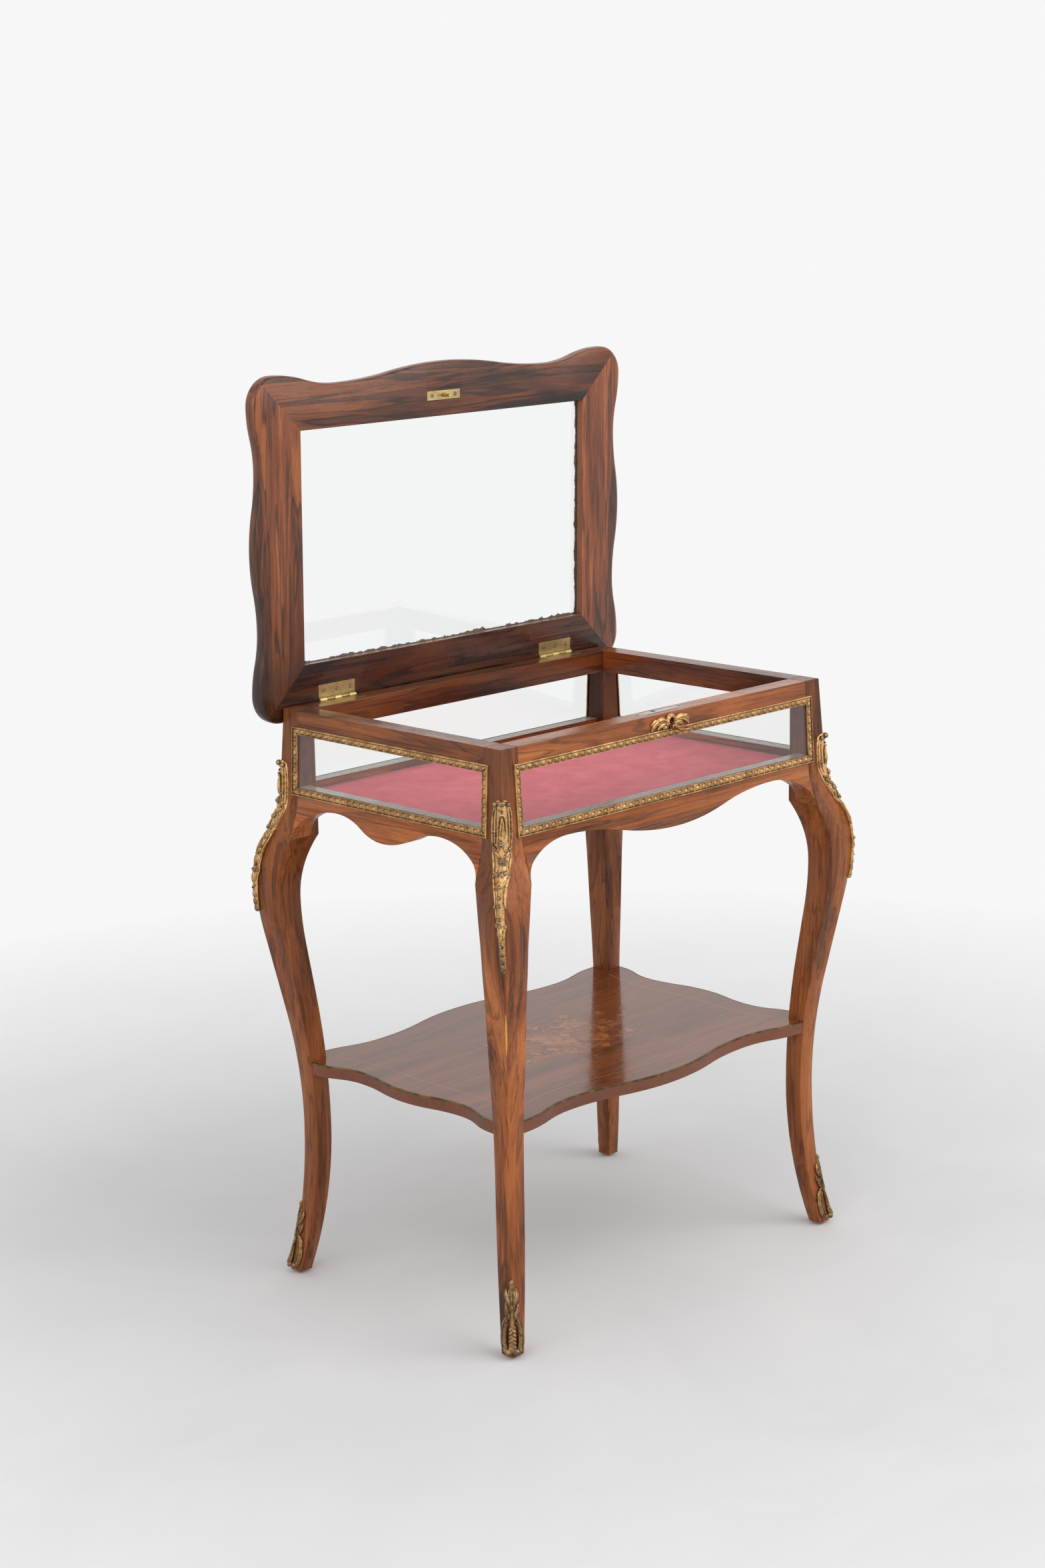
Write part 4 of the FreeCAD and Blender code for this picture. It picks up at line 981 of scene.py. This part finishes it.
# lines of (across, up, out, radius) points
mouldings = [
    [(11.6, 692, 2.2, 0.7), (14.2, 684, 2.2, 1.2), (15.6, 670, 2.2, 1.3), (16.2, 655, 2.2, 1.3),
     (16, 645, 2.2, 0.8)],
    [(8.6, 690, 2.6, 0.6), (9.8, 682, 2.9, 1.1), (10.4, 670, 3.0, 1.2), (11.2, 656, 2.9, 1.1),
     (11.6, 648, 2.6, 0.6)],
    [(-11.8, 692, 2.2, 0.7), (-14.6, 684, 2.2, 1.2), (-15.6, 670, 2.2, 1.3), (-15.4, 656, 2.2, 1.2),
     (-13.8, 645, 2.2, 0.8)],
    [(-8.8, 690, 2.6, 0.6), (-10, 682, 2.9, 1.1), (-10.4, 670, 3.0, 1.2), (-10.8, 657, 2.9, 1.0),
     (-10.4, 648, 2.6, 0.6)],
    [(7, 646, 2.8, 0.7), (6.2, 658, 3.2, 1.0), (5, 670, 3.5, 1.2), (4.4, 677.5, 3.7, 1.3),
     (2.6, 682.2, 3.9, 1.35), (0, 683.8, 4.0, 1.35), (-2.6, 682.2, 3.9, 1.35), (-4.4, 677.5, 3.7, 1.3),
     (-5, 670, 3.5, 1.1), (-5.2, 660, 3.0, 0.6)],
    [(16, 613, 2.0, 0.7), (15, 604, 2.3, 1.3), (13.8, 594, 2.4, 1.4), (13, 586, 2.3, 1.3),
     (13.8, 580, 2.1, 0.9)],
    [(10.6, 609, 2.4, 0.6), (10.4, 599, 2.7, 1.1), (10, 589, 2.6, 1.0), (9.8, 581, 2.4, 0.5)],
    [(-12, 612.6, 1.8, 0.5), (-9, 610.6, 2.3, 1.4), (-6, 607, 2.7, 1.8), (-3.4, 600, 2.9, 1.9),
     (-2.2, 592, 2.8, 1.8), (-1.8, 585, 2.6, 1.6), (-3, 580, 2.4, 1.3), (-4.4, 578.6, 2.2, 0.8)],
    [(-3, 609, 2.6, 0.5), (0.6, 602, 2.9, 1.0), (1.4, 594, 2.9, 1.0), (1.2, 586, 2.7, 0.8),
     (0.8, 580, 2.5, 0.5)],
    [(12.6, 577, 2.0, 0.6), (12, 572, 2.2, 0.9), (12, 567, 2.1, 0.7)],
    [(1.4, 577, 2.4, 0.5), (1.4, 572, 2.5, 0.8), (1.4, 567, 2.4, 0.5)],
    [(1.4, 569.6, 2.2, 0.8), (6.6, 568.4, 2.8, 1.2), (12.2, 569.8, 2.0, 0.8)],
]
mount_parts += [rib(line, 6 * len(line)) for line in mouldings]
# lines of (across, up, out, half width) points
sprays = [
    [(0.5, 657, 2.6, 0.8), (0.8, 664, 3.4, 2.4), (-0.2, 672, 3.3, 2.8), (0.2, 680, 2.8, 0.8)],
    [(3.4, 659, 2.6, 0.5), (2.4, 666, 3.6, 1.4), (0.2, 672, 3.2, 0.4)],
    [(15.6, 642, 2.2, 0.5), (11.5, 638.6, 2.9, 2.1), (6.6, 635.4, 3.2, 2.4), (2.8, 633.6, 2.6, 0.6)],
    [(-13.4, 640.5, 2.2, 0.5), (-9, 637, 2.9, 2.1), (-4.4, 634.6, 3.2, 2.3), (0, 633.2, 2.6, 0.6)],
    [(-2, 645, 2.6, 0.6), (-4.4, 641.4, 3.2, 2.0), (-7.2, 639, 2.7, 0.6)],
    [(5, 645.4, 2.6, 0.6), (6.8, 641.6, 3.1, 1.9), (9.4, 638.8, 2.6, 0.5)],
    [(16.4, 640, 2.2, 0.6), (15.2, 632, 2.6, 1.8), (14.6, 624, 2.6, 1.8), (15.4, 614, 2.2, 0.5)],
    [(-14.8, 637, 2.2, 0.6), (-13, 630, 2.6, 1.7), (-11, 622, 2.6, 1.6), (-11.6, 613.8, 2.0, 0.4)],
    [(0.4, 625, 2.6, 0.6), (0.4, 621, 3.4, 1.8), (0.6, 616, 2.8, 0.5)],
    [(6.4, 624, 2.6, 0.6), (8.8, 620, 3.1, 2.0), (10.6, 613, 2.4, 0.4)],
    [(-5.4, 623.6, 2.6, 0.6), (-7, 619, 3.0, 1.8), (-7.8, 613, 2.4, 0.4)],
    [(5.6, 607, 2.4, 0.4), (7.8, 603, 2.9, 1.4), (8.4, 597.6, 2.4, 0.4)],
    [(4, 596.4, 2.4, 0.4), (3.6, 592, 2.9, 1.3), (4.8, 586.4, 2.4, 0.4)],
    [(4.6, 556, 2.4, 1.4), (4.6, 549, 2.7, 3.6), (4.4, 543.6, 2.6, 2.8), (4.2, 539.6, 2.3, 0.8)],
    [(8.8, 555, 2.2, 0.5), (8.6, 549, 2.6, 1.8), (7.4, 542, 2.3, 0.4)],
    [(0.6, 554, 2.3, 0.5), (0.8, 548, 2.8, 1.7), (1.8, 542, 2.4, 0.4)],
]
mount_parts += [leaf(line, 4 * len(line)) for line in sprays]
berries = [
    (13.2, 667.5, 3.0, 1.8), (12.2, 663, 3.2, 1.7), (10.6, 659.2, 3.5, 2.1), (-14.2, 668, 2.9, 1.7),
    (-14, 663.6, 3.1, 2.1), (-12.4, 659.4, 3.2, 1.7), (12.8, 643.8, 3.0, 2.1), (10, 642.4, 3.4, 2.0),
    (15.4, 646.8, 2.6, 1.6), (-10.2, 642.6, 3.4, 2.1), (-12.8, 643.8, 3.0, 2.2), (-10.4, 637.6, 3.4, 1.9),
    (-13, 638.8, 2.8, 1.7), (-3.8, 578.8, 2.6, 2.0), (14.4, 578.8, 2.3, 2.0), (5.6, 601.4, 2.8, 2.5),
    (6.4, 580.8, 2.8, 2.3), (6.6, 565.6, 2.7, 2.4), (5.6, 537.4, 2.6, 2.4), (4.2, 653, 3.6, 1.5),
]
dark_parts += [bead((across, up, out), (size, size, 0.9 * size)) for across, up, out, size in berries]
buds = ((8, 614.4, 8, 2.4), (1.6, 615, 0, 2.8), (-3.2, 616.4, -10, 2.4), (6.8, 589.8, 8, 1.9))
for across, up, turn, size in buds:
    dark_parts.append(bead((across, up, 3.2), (size, 1.3 * size, 0.85 * size), turn))
blooms = [
    (1.4, 648.6, 3.4, 4.6, 0), (3.4, 628.8, 3.2, 4.0, 0), (-3.0, 628.2, 3.3, 4.0, 20),
    (11.2, 558.4, 2.4, 3.1, 0), (5.8, 557.8, 2.6, 3.3, 15), (-1.6, 558, 2.6, 3.1, 0),
]
for across, up, out, size, turn in blooms:
    dark_parts += flower((across, up, out), size, turn)
husks = ((3.6, 525.8, 1.0), (2.7, 515.8, 0.95), (2.1, 506.4, 0.86))
for across, up, size in husks:
    for aside, tilt in ((-1.9, -20), (1.9, 20), (0, 0)):
        spot = (across + aside * size, up, 2.0 + 0.8 * (tilt == 0))
        dark_parts.append(bead(spot, (1.9 * size, 4.7 * size, 1.9 * size), tilt, 8))
    mount_parts.append(bead((across, up + 4.6 * size, 2.4), (2.1 * size, 1.5 * size, 1.8 * size), 0, 8))
mount_drop = {"front_left": 0, "front_right": 14 * mm, "back_left": 7 * mm, "back_right": 7 * mm}
lift_heights, lifts = (500, 545, 585, 614), (1.4, 1.9, 1.9, 0)


def on_knee(points, corner):
    """Sets a casting on a knee, its lower half lifting off the wood."""
    lift = np.interp(np.asarray(points)[:, 1], lift_heights, lifts) * mm
    return wrapped(points, corner, mount_drop[corner], lift)


mount_gold = gilt(
    "cast gilt brass", (0.76, 0.465, 0.205), (0.50, 0.295, 0.125), (0.12, 0.072, 0.036),
    2.6 * mm, rough=0.44, cast=1.0, hollows=(0.15, 0.8)
)
worn_bronze = gilt(
    "bronze where the gold is gone", (0.40, 0.27, 0.16), (0.20, 0.135, 0.085), (0.03, 0.022, 0.016),
    2 * mm, rough=0.28, cast=0.5, hollows=(0.25, 0.86)
)
castings = four_times(joined(mount_parts), on_knee)
solid("knee_castings", *castings, mount_gold, "case", "gilt_brass", "knee_mounts")
castings = four_times(joined(dark_parts), on_knee)
solid("knee_flowers_and_berries", *castings, worn_bronze, "case", "gilt_brass")


# Chip: on the front left leg the veneer of the corner has split away below the mount.
# The upper stretch shows the red broken edge of the veneer, the lower one the pale wood under it.
chip = plate([(446, 0.4, 0.4), (432, 1.8, 1.4), (408, 2.2, 1.8), (391, 0.3, 0.3)], 1.15, 24)
scar = plate([(500, 0.8, 0.8), (480, 2.2, 2.0), (456, 2.2, 2.2), (444, 0.5, 0.5)], 1.05, 24)
along_leg = (1, 1, 0.05)
for name, (points, faces), tones in (
    ("bare_wood_chip", chip, [(0.3, (0.62, 0.30, 0.075)), (0.7, (0.80, 0.44, 0.13))]),
    ("split_veneer_edge", scar, [(0.3, (0.16, 0.040, 0.018)), (0.7, (0.28, 0.080, 0.035))]),
):
    words = name.replace("_", " ")
    torn = raw(words, tones, (900, 4, 0.6), (0.6, 0.85), (0.5, 0.0004), along_leg, specular_ior_level=0.1)
    solid(name, wrapped(points, "front_left"), faces, torn, "case", "inner_wood")


# Sabots: darker gilt castings round the outer corner of each foot, each held by a nail.
# They have a pointed stem, two pairs of leaves, an open loop each side of a rib and a toe parted in two.
sabot_stem = [
    (98, 1.5, 1.5), (96.5, 3.2, 3.2), (93, 3.7, 3.7), (88, 3.8, 3.8), (84, 5.4, 5.8),
    (76, 8.2, 8.8), (68, 6.2, 6.2), (61, 8.4, 8.4), (54, 7.2, 7.2), (49, 6.8, 6.8),
]
sabot_parts = [plate(sabot_stem, 2.2, 44)]
sabot_parts.append(bead((0.4, 94.6, 2.2), (2.9, 3.2, 2.0)))
sabot_leaves = [
    [(1.4, 63, 2.4, 1.2), (4.2, 69.5, 2.8, 3.0), (7.6, 76, 2.8, 3.7), (10, 81, 2.2, 2.6),
     (9.6, 86, 1.5, 0.5)],
    [(-1.4, 63, 2.4, 1.2), (-4.2, 70, 2.8, 3.0), (-7.2, 77, 2.8, 3.5), (-8, 82, 2.2, 2.3),
     (-6.4, 87, 1.5, 0.5)],
]
for line in (
    [(0.8, 72, 2.6, 0.6), (3.4, 78, 3.0, 1.7), (4.6, 83, 2.5, 1.2), (4.2, 87, 1.8, 0.3)],
    [(3.4, 49.5, 2.4, 1.8), (6.4, 55, 2.8, 3.2), (9, 61.5, 2.6, 3.0), (10.8, 66, 1.9, 1.7),
     (10.8, 70, 1.4, 0.4)],
    [(7, 51, 2.2, 1.6), (11, 46, 2.5, 2.6), (13.4, 38, 2.6, 3.2), (14.6, 28, 2.7, 3.8),
     (13.8, 18, 3.2, 4.2), (11, 11, 4.0, 3.6)],
):
    sabot_leaves += [line, mirrored(line)]
sabot_parts += [leaf(line, 4 * len(line)) for line in sabot_leaves]
sabot_ribs = [
    [(0.4, 92, 2.4, 0.7), (0.6, 85, 2.8, 1.1), (0.2, 74, 3.2, 1.3), (0, 62, 3.2, 1.5), (0, 50, 3.4, 2.0)],
    [(0, 52, 2.2, 2.2), (0, 44, 2.6, 2.4), (0, 34, 2.9, 2.7), (0, 24, 3.4, 3.4), (0, 15, 4.2, 4.2),
     (0, 11.6, 4.6, 3.8)],
]
for line in (
    [(10, 51, 2.2, 0.8), (15, 44, 2.2, 1.2), (17, 36, 2.2, 1.3), (18.4, 27, 2.2, 1.4),
     (17.6, 17, 2.6, 1.4), (14.6, 10, 3.4, 1.2)],
    [(5.5, 46, 2.6, 0.7), (8.8, 40, 2.6, 0.9), (10.4, 30, 2.8, 1.0), (9.8, 20, 3.2, 1.0),
     (7, 13, 4.0, 0.9)],
):
    sabot_ribs += [line, mirrored(line)]
sabot_parts += [rib(line, 5 * len(line)) for line in sabot_ribs]
for number in range(6):
    for aside in (-1, 1):
        spot = (aside * 1.7, 41 - 4.6 * number - 2.3 * (aside > 0), 4.7 + 0.42 * number)
        sabot_parts.append(bead(spot, (1.5, 2.7, 1.0), aside * 28, 8))
for aside in (-1, 1):
    sabot_parts.append(bead((aside * 4.2, 11.5, 5.0), (4.2, 4.0, 3.8), aside * 12))
    sabot_parts.append(bead((aside * 10.2, 11.5, 3.8), (4.0, 3.9, 3.2), aside * 24))
sabot_gold = gilt(
    "dark gilt brass of the feet", (0.44, 0.26, 0.122), (0.22, 0.13, 0.066), (0.03, 0.021, 0.014),
    2.6 * mm, cast=1.0, hollows=(0.2, 0.85)
)
castings = four_times(joined(sabot_parts), wrapped)
solid("foot_castings", *castings, sabot_gold, "case", "gilt_brass", "sabots")


# Nails of the castings: round-headed, dark with age, driven through the brass into the legs.
# One sits at each end of a knee mount and one in the leaf of each sabot.
nail_head = (1.9, 1.9, 1.3)
knee_nails = joined([bead(spot, nail_head) for spot in ((0, 687.7, 2.9), (2.2, 534.2, 3.0))])
foot_nail = bead((1.4, 79, 3.6), nail_head)
dark_nail = gilt("dark nails", (0.16, 0.12, 0.085), (0.08, 0.06, 0.045), (0.02, 0.015, 0.01), 2 * mm, 0.35)
nails = joined([four_times(knee_nails, on_knee), four_times(foot_nail, wrapped)])
solid("mount_nails", *nails, dark_nail, "case", "gilt_brass")


# Hinges: two brass butts let into the back rail and the lid, with five knuckles on a pin.
# Each leaf has three countersunk screws with a slot.
def lathe(profile, start, way, around=20):
    """Turned piece: (along, radius) stations from a point, along a direction."""
    way = Vector(way).normalized()
    turn = Vector((0, 0, 1)).rotation_difference(way)
    turns = np.linspace(0, 2 * math.pi, around, endpoint=False)
    rows = []
    for along, radius in profile:
        ring = [Vector((radius * math.cos(angle), radius * math.sin(angle), along)) for angle in turns]
        rows.append([Vector(start) + turn @ point for point in ring])
    return lofted(rows)


def slab(low, high, bevel):
    """Flat piece with its upper and lower edges broken."""
    (x0, y0, z0), (x1, y1, z1) = low, high
    rows = []
    for inset, level in ((bevel, z0), (0, z0 + bevel), (0, z1 - bevel), (bevel, z1)):
        near_x, far_x, near_y, far_y = x0 + inset, x1 - inset, y0 + inset, y1 - inset
        row = [(near_x, near_y), (far_x, near_y), (far_x, far_y), (near_x, far_y)]
        rows.append([(x, y, level) for x, y in row])
    return lofted(rows)


def slotted_head(spot, radius, rise, turn):
    """Two halves of a screw's head either side of its slot, over a sunk floor; rise is up or down."""
    x, y, z = spot
    parts = [lathe([(-0.5 * rise, radius), (0.15 * rise, radius)], spot, (0, 0, 1))]
    for half in (0, 180):
        arc = np.radians(np.linspace(14, 166, 11) + half + turn)
        rows = []
        for level, share in ((0, 1), (0.7 * rise, 1), (rise, 0.9)):
            out = share * radius
            rows.append([(x + out * math.cos(a), y + out * math.sin(a), z + level) for a in arc])
        parts.append(lofted(rows))
    return parts


hinge_length, leaf_width, leaf_thick, barrel = 62 * mm, 20 * mm, 1.6 * mm, 3.4 * mm
hinge_middles = (-201 * mm, 201 * mm)
along_pin = (1, 0, 0)
leaf_proud = 0.1 * mm
screw_radius = 3 * mm
screw_step = 22 * mm
head_rise = 0.16 * mm


def hinge_half(middle, base, direction, own):
    """Leaf on the wood at a height, going into it, with its own knuckles."""
    start = middle - hinge_length / 2
    level = sorted((base - direction * leaf_proud, base + direction * leaf_thick))
    front = pin.y - leaf_width
    rear = pin.y - barrel
    parts = [slab((start, front, level[0]), (start + hinge_length, rear, level[1]), 0.25 * mm)]
    knuckle = hinge_length / 5
    gap = 0.15 * mm
    ease = 0.4 * mm
    for number in own:
        near = start + number * knuckle + gap
        far = near + knuckle - 2 * gap
        parts.append(slab((near, rear - mm, level[0]), (far, pin.y, level[1]), 0.2 * mm))
        profile = [(0, 0.8 * barrel), (ease, barrel), (far - near - ease, barrel), (far - near, 0.8 * barrel)]
        parts.append(lathe(profile, (near, pin.y, pin.z), along_pin))
    return parts


def hollowed(piece, parts):
    """Cuts closed shapes out of a piece."""
    tools = []
    for points, faces in parts:
        tools.append(placed("tool", mesh_of("tool", points, faces)))
        cut = piece.modifiers.new("pocket", "BOOLEAN")
        cut.solver = "EXACT"
        cut.object = tools[-1]
    now = piece.evaluated_get(bpy.context.evaluated_depsgraph_get())
    piece.data = bpy.data.meshes.new_from_object(now)
    piece.data.set_sharp_from_angle(angle=sharp_corner)
    piece.modifiers.clear()
    for tool in tools:
        bpy.data.objects.remove(tool)


def swung(parts):
    """Meshes drawn on the closed lid, as one mesh on the open lid."""
    points, faces = joined(parts)
    return opened(points), faces


pocket_room = 0.3 * mm
pocket_corner = 0.05 * mm
barrel_hollow = 4.4 * mm
pockets = []
for middle in hinge_middles:
    near = middle - hinge_length / 2 - pocket_room
    far = middle + hinge_length / 2 + pocket_room
    low = (near, pin.y - leaf_width - 0.2 * mm, lid_base - 3 * mm)
    high = (far, pin.y, lid_base + leaf_thick + 0.1 * mm)
    hollow = [(0, barrel_hollow), (far - near, barrel_hollow)]
    pockets.append(slab(low, high, pocket_corner))
    pockets.append(lathe(hollow, (near, pin.y, pin.z), along_pin))
hollowed(lid_pieces["lid_rail_back"], [swung([pocket]) for pocket in pockets])

leaf_middle = pin.y - (leaf_width + barrel + 0.5 * mm) / 2
pin_radius, pin_tip = 1.5 * mm, 0.5 * mm
pin_profile = [(-0.6 * mm, pin_tip), (-0.3 * mm, pin_radius)]
pin_profile += [(hinge_length + 0.3 * mm, pin_radius), (hinge_length + 0.6 * mm, pin_tip)]
case_leaves, lid_leaves, case_heads, lid_heads = [], [], [], []
for middle in hinge_middles:
    case_leaves += hinge_half(middle, rim_height, -1, (1, 3))
    case_leaves.append(lathe(pin_profile, (middle - hinge_length / 2, pin.y, pin.z), along_pin, 12))
    lid_leaves += hinge_half(middle, lid_base, 1, (0, 2, 4))
    for number, step in enumerate((-screw_step, 0, screw_step)):
        case_spot, lid_spot = ((middle + step, leaf_middle, level) for level in (rim_height, lid_base))
        case_heads += slotted_head(case_spot, screw_radius, head_rise, 25 + 50 * number)
        lid_heads += slotted_head(lid_spot, screw_radius, -head_rise, 70 - 40 * number)
plain_brass = gilt("plain brass", (0.62, 0.46, 0.2), (0.44, 0.33, 0.15), (0.1, 0.07, 0.03), 3 * mm, 0.3)
dull_brass = gilt("dull brass", (0.42, 0.31, 0.14), (0.27, 0.2, 0.09), (0.06, 0.045, 0.02), 3 * mm, 0.36)
old_steel = gilt(
    "old steel screws", (0.30, 0.25, 0.18), (0.18, 0.14, 0.1), (0.03, 0.024, 0.018), 2 * mm, 0.35
)
solid("hinge_leaves_on_case", *joined(case_leaves), dull_brass, "case", "plain_brass", "hinge_case_leaves")
solid("screw_heads_on_case", *joined(case_heads), old_steel, "case", "steel", "hinge_case_screws")
solid("hinge_leaves_on_lid", *swung(lid_leaves), plain_brass, "lid", "plain_brass", "hinge_lid_leaves")
solid("screw_heads_on_lid", *swung(lid_heads), old_steel, "lid", "steel", "hinge_lid_screws")


# Strike: a brass plate let in under the front of the lid, held by two slotted screws.
# Its necked stud drops into the lock when the lid is shut.
strike_x, strike_y = -8 * mm, -176 * mm
strike_half = (29.7 * mm, 6.2 * mm)
strike_screw = 20.5 * mm
low = (strike_x - strike_half[0], strike_y - strike_half[1], lid_base - 2 * mm)
high = (strike_x + strike_half[0], strike_y + strike_half[1], lid_base + 1.6 * mm)
hollowed(lid_pieces["lid_rail_front"], [swung([slab(low, high, pocket_corner)])])
clad("strike_plate", plain_brass, 0.2 * mm)
strike_heads = []
for number, step in enumerate((-strike_screw, strike_screw)):
    spot = (strike_x + step, strike_y, lid_base)
    strike_heads += slotted_head(spot, screw_radius, -head_rise, 40 + 70 * number)
solid("screw_heads_on_strike", *swung(strike_heads), old_steel, "lid", "steel", "strike_screws")


# Lock: a steel box let into the front rail, with its pale top plate screwed down flush in the rim.
# Its bolt slides under the head of the strike's stud when the key turns.
plate_screw = (38 * mm, -178.25 * mm)
pale_steel = gilt("pale worn steel", (0.58, 0.53, 0.46), (0.42, 0.38, 0.33), (0.12, 0.1, 0.08), 3 * mm, 0.28)
for node in ("lock_case", "lock_selvedge", "lock_bolt"):
    clad(node, pale_steel)
plate_heads = []
for number, side in enumerate((-1, 1)):
    spot = (side * plate_screw[0], plate_screw[1], rim_height)
    plate_heads += slotted_head(spot, screw_radius, 0.1 * mm, 15 + 60 * number)
solid("screw_heads_on_lock", *joined(plate_heads), old_steel, "case", "steel", "selvedge_screws")


# Escutcheon: a shell round the keyhole with a spray of leaves to each side, cast in gilt brass in one piece.
# It is fixed to the face of the front rail and leans with it.
shell_rib = [
    (-5.6, -18.4, 1.6, 1.5), (-6.8, -12, 2.4, 2.4), (-5.4, -6.8, 3.0, 2.6), (-3, -4.2, 3.3, 2.7),
    (0, -3.4, 3.4, 2.7),
]
shell_parts = [rib(shell_rib + mirrored(shell_rib)[-2::-1], 34, 10)]
for turn in range(-120, 121, 30):
    across, down = 6.6 * math.sin(math.radians(turn)), -9.6 + 6.4 * math.cos(math.radians(turn))
    shell_parts.append(bead((across, down, 4.0), (1.5, 2.3, 2.0), -turn))
fingers = [
    [(5, -14.6, 1.6, 1.8), (11, -9.6, 2.6, 3.6), (18, -7.6, 3.2, 4.2), (26, -10, 2.8, 3.6),
     (32, -15, 2.0, 2.2), (34.5, -19, 1.4, 0.8)],
    [(22, -7.4, 2.4, 1.8), (29, -7.8, 2.6, 2.5), (36, -12, 1.6, 0.8)],
    [(6, -15.4, 1.8, 1.6), (12.5, -13.4, 3.0, 3.0), (18.5, -14.4, 2.8, 2.6), (23.5, -18.6, 1.6, 0.8)],
    [(5.5, -17, 1.8, 1.4), (10, -17.2, 2.8, 2.2), (14, -18.9, 1.6, 0.8)],
]
for line in fingers:
    shell_parts += [leaf(line, 5 * len(line)), leaf(mirrored(line), 5 * len(line))]
points, faces = joined(shell_parts)
points = on_side(points * mm, "front")
solid("shell_and_leaves", points, faces, mount_gold, "case", "gilt_brass", "escutcheon")


# Key: turned in bronze and brown from handling, with a ball above the shank and a plain bit.
# Its bow is a flat oval ring.
key_height = 743
key_start = -205.2
bow_middle = np.array([0, -218.6, key_height])
bow_reach = np.array([7.8, 9.5, 0])
bow_half_width, bow_half_height = 1.7, 1.9
ball = [(-4.5, 0.6), (-4.2, 1.6), (-3.2, 3.2), (-1.6, 4.2), (0, 4.5), (1.6, 4.2), (3.2, 3.2)]
shank = [(4.0, 2.6), (4.6, 3.0), (5.4, 3.0), (6, 2.2), (25.4, 2.2)]
key_profile = [(along * mm, radius * mm) for along, radius in ball + shank]
key_parts = [lathe(key_profile, (0, key_start * mm, key_height * mm), (0, 1, 0), 24)]
ring_turns = np.linspace(0, 2 * math.pi, 10, endpoint=False)
bow_section = [(bow_half_width * math.cos(a), bow_half_height * math.sin(a)) for a in ring_turns]
bow_rows = []
for turn in np.linspace(0, 2 * math.pi, 48, endpoint=False):
    way = np.array([math.cos(turn), math.sin(turn), 0])
    middle = bow_middle + bow_reach * way
    bow_rows.append([middle + way * out + np.array([0, 0, up]) for out, up in bow_section])
key_parts.append(lofted(np.array(bow_rows + bow_rows[:1]) * mm, False))
bit_low, bit_high = (0, -184.8 * mm, (key_height - 1) * mm), (6 * mm, -179.8 * mm, (key_height + 1) * mm)
key_parts.append(slab(bit_low, bit_high, 0.3 * mm))
key_bronze = gilt(
    "handled bronze", (0.46, 0.225, 0.105), (0.30, 0.14, 0.065), (0.06, 0.03, 0.016), 2 * mm, 0.3
)
solid("turned_key", *joined(key_parts), key_bronze, "key", "key_bronze", "key")


# Room: a plain pale floor that runs out to white, under even light from all round.
# Two large soft lamps, at the front and at the left, shape the table and give it its shadow.
def shown_rays(tree):
    """1 for what the camera sees, also in metal and through glass."""
    seen = add(tree, "LightPath").outputs
    shown = maths(tree, "MAXIMUM", seen["Is Camera Ray"], seen["Is Glossy Ray"])
    return maths(tree, "MAXIMUM", shown, seen["Is Transmission Ray"])


room_white = 0.93
room_light = 0.68
floor_half = 9
fade_start, fade_end = 0.7, 1.9
surface, tree, shader = finish(
    "pale floor", roughness=0.55, specular_ior_level=0.0, emission_color=(1, 1, 1, 1)
)
cloud = noise(tree, place_of(tree), 2.2, 4, 0.6, 0.6)
pale = ramp(tree, cloud, [(0.3, (0.74, 0.74, 0.745)), (0.7, (0.80, 0.80, 0.80))])
away = add(tree, "VectorMath", {0: place_of(tree)}, operation="LENGTH").outputs["Value"]
fade = maths(tree, "MULTIPLY", shown_rays(tree), spread(tree, away, fade_start, fade_end))
floor_white = maths(tree, "MULTIPLY", fade, room_white)
feed(tree, shader, base_color=mixed(tree, fade, pale, (0, 0, 0)), emission_strength=floor_white)
floor_mesh = bpy.data.meshes.new("floor")
floor_corners = [(x * floor_half, y * floor_half, 0) for x, y in ((-1, -1), (1, -1), (1, 1), (-1, 1))]
floor_mesh.from_pydata(floor_corners, [], [(0, 1, 2, 3)])
floor_mesh.materials.append(surface)
placed("floor", floor_mesh)

world = bpy.data.worlds.new("soft room light")
bpy.context.scene.world = world
world.use_nodes = True
sky = world.node_tree
backdrop = sky.nodes["Background"]
backdrop.inputs["Color"].default_value = (1, 1, 1, 1)
sky.links.new(spread(sky, shown_rays(sky), 0, 1, room_light, room_white), backdrop.inputs["Strength"])


def soft_lamp(name, place, aim, size, power):
    """A large square lamp, aimed at a point and itself out of sight."""
    lamp = bpy.data.lights.new(name, "AREA")
    lamp.shape = "RECTANGLE"
    lamp.size, lamp.size_y = size, size
    lamp.energy = power
    holder = placed(name, lamp)
    holder.visible_camera = False
    holder.location = place
    holder.rotation_mode = "QUATERNION"
    holder.rotation_quaternion = (Vector(aim) - Vector(place)).to_track_quat("-Z", "Y")


middle_of_table = (0, 0, 0.6)
soft_lamp("front light", (1.2, -3.0, 2.6), middle_of_table, 3.6, 74)
soft_lamp("left light", (-2.8, -0.6, 2.2), middle_of_table, 3.0, 26)


# Camera: at the photograph's place and turn, with its focal length, worked out from the table's own corners.
focal_pixels, picture_height = 4203.6, 2352
camera_place = (-2.5360, -2.4886, 1.4472)
azimuth, elevation, roll = (math.radians(angle) for angle in (-44.8075, 12.7928, -1.0851))
level = Vector((math.cos(azimuth), math.sin(azimuth), 0))
behind = Vector((math.sin(azimuth), -math.cos(azimuth), 0))
back = behind * math.cos(elevation) + Vector((0, 0, math.sin(elevation)))
right = level * math.cos(roll) + back.cross(level) * math.sin(roll)
camera = bpy.data.cameras.new("camera")
camera.sensor_width = 36
camera.lens = focal_pixels * camera.sensor_width / picture_height
holder = placed("camera", camera)
turn = Matrix((right, back.cross(right), back)).transposed().to_4x4()
holder.matrix_world = Matrix.Translation(camera_place) @ turn
bpy.context.scene.camera = holder
bpy.context.scene.view_settings.view_transform = "Standard"
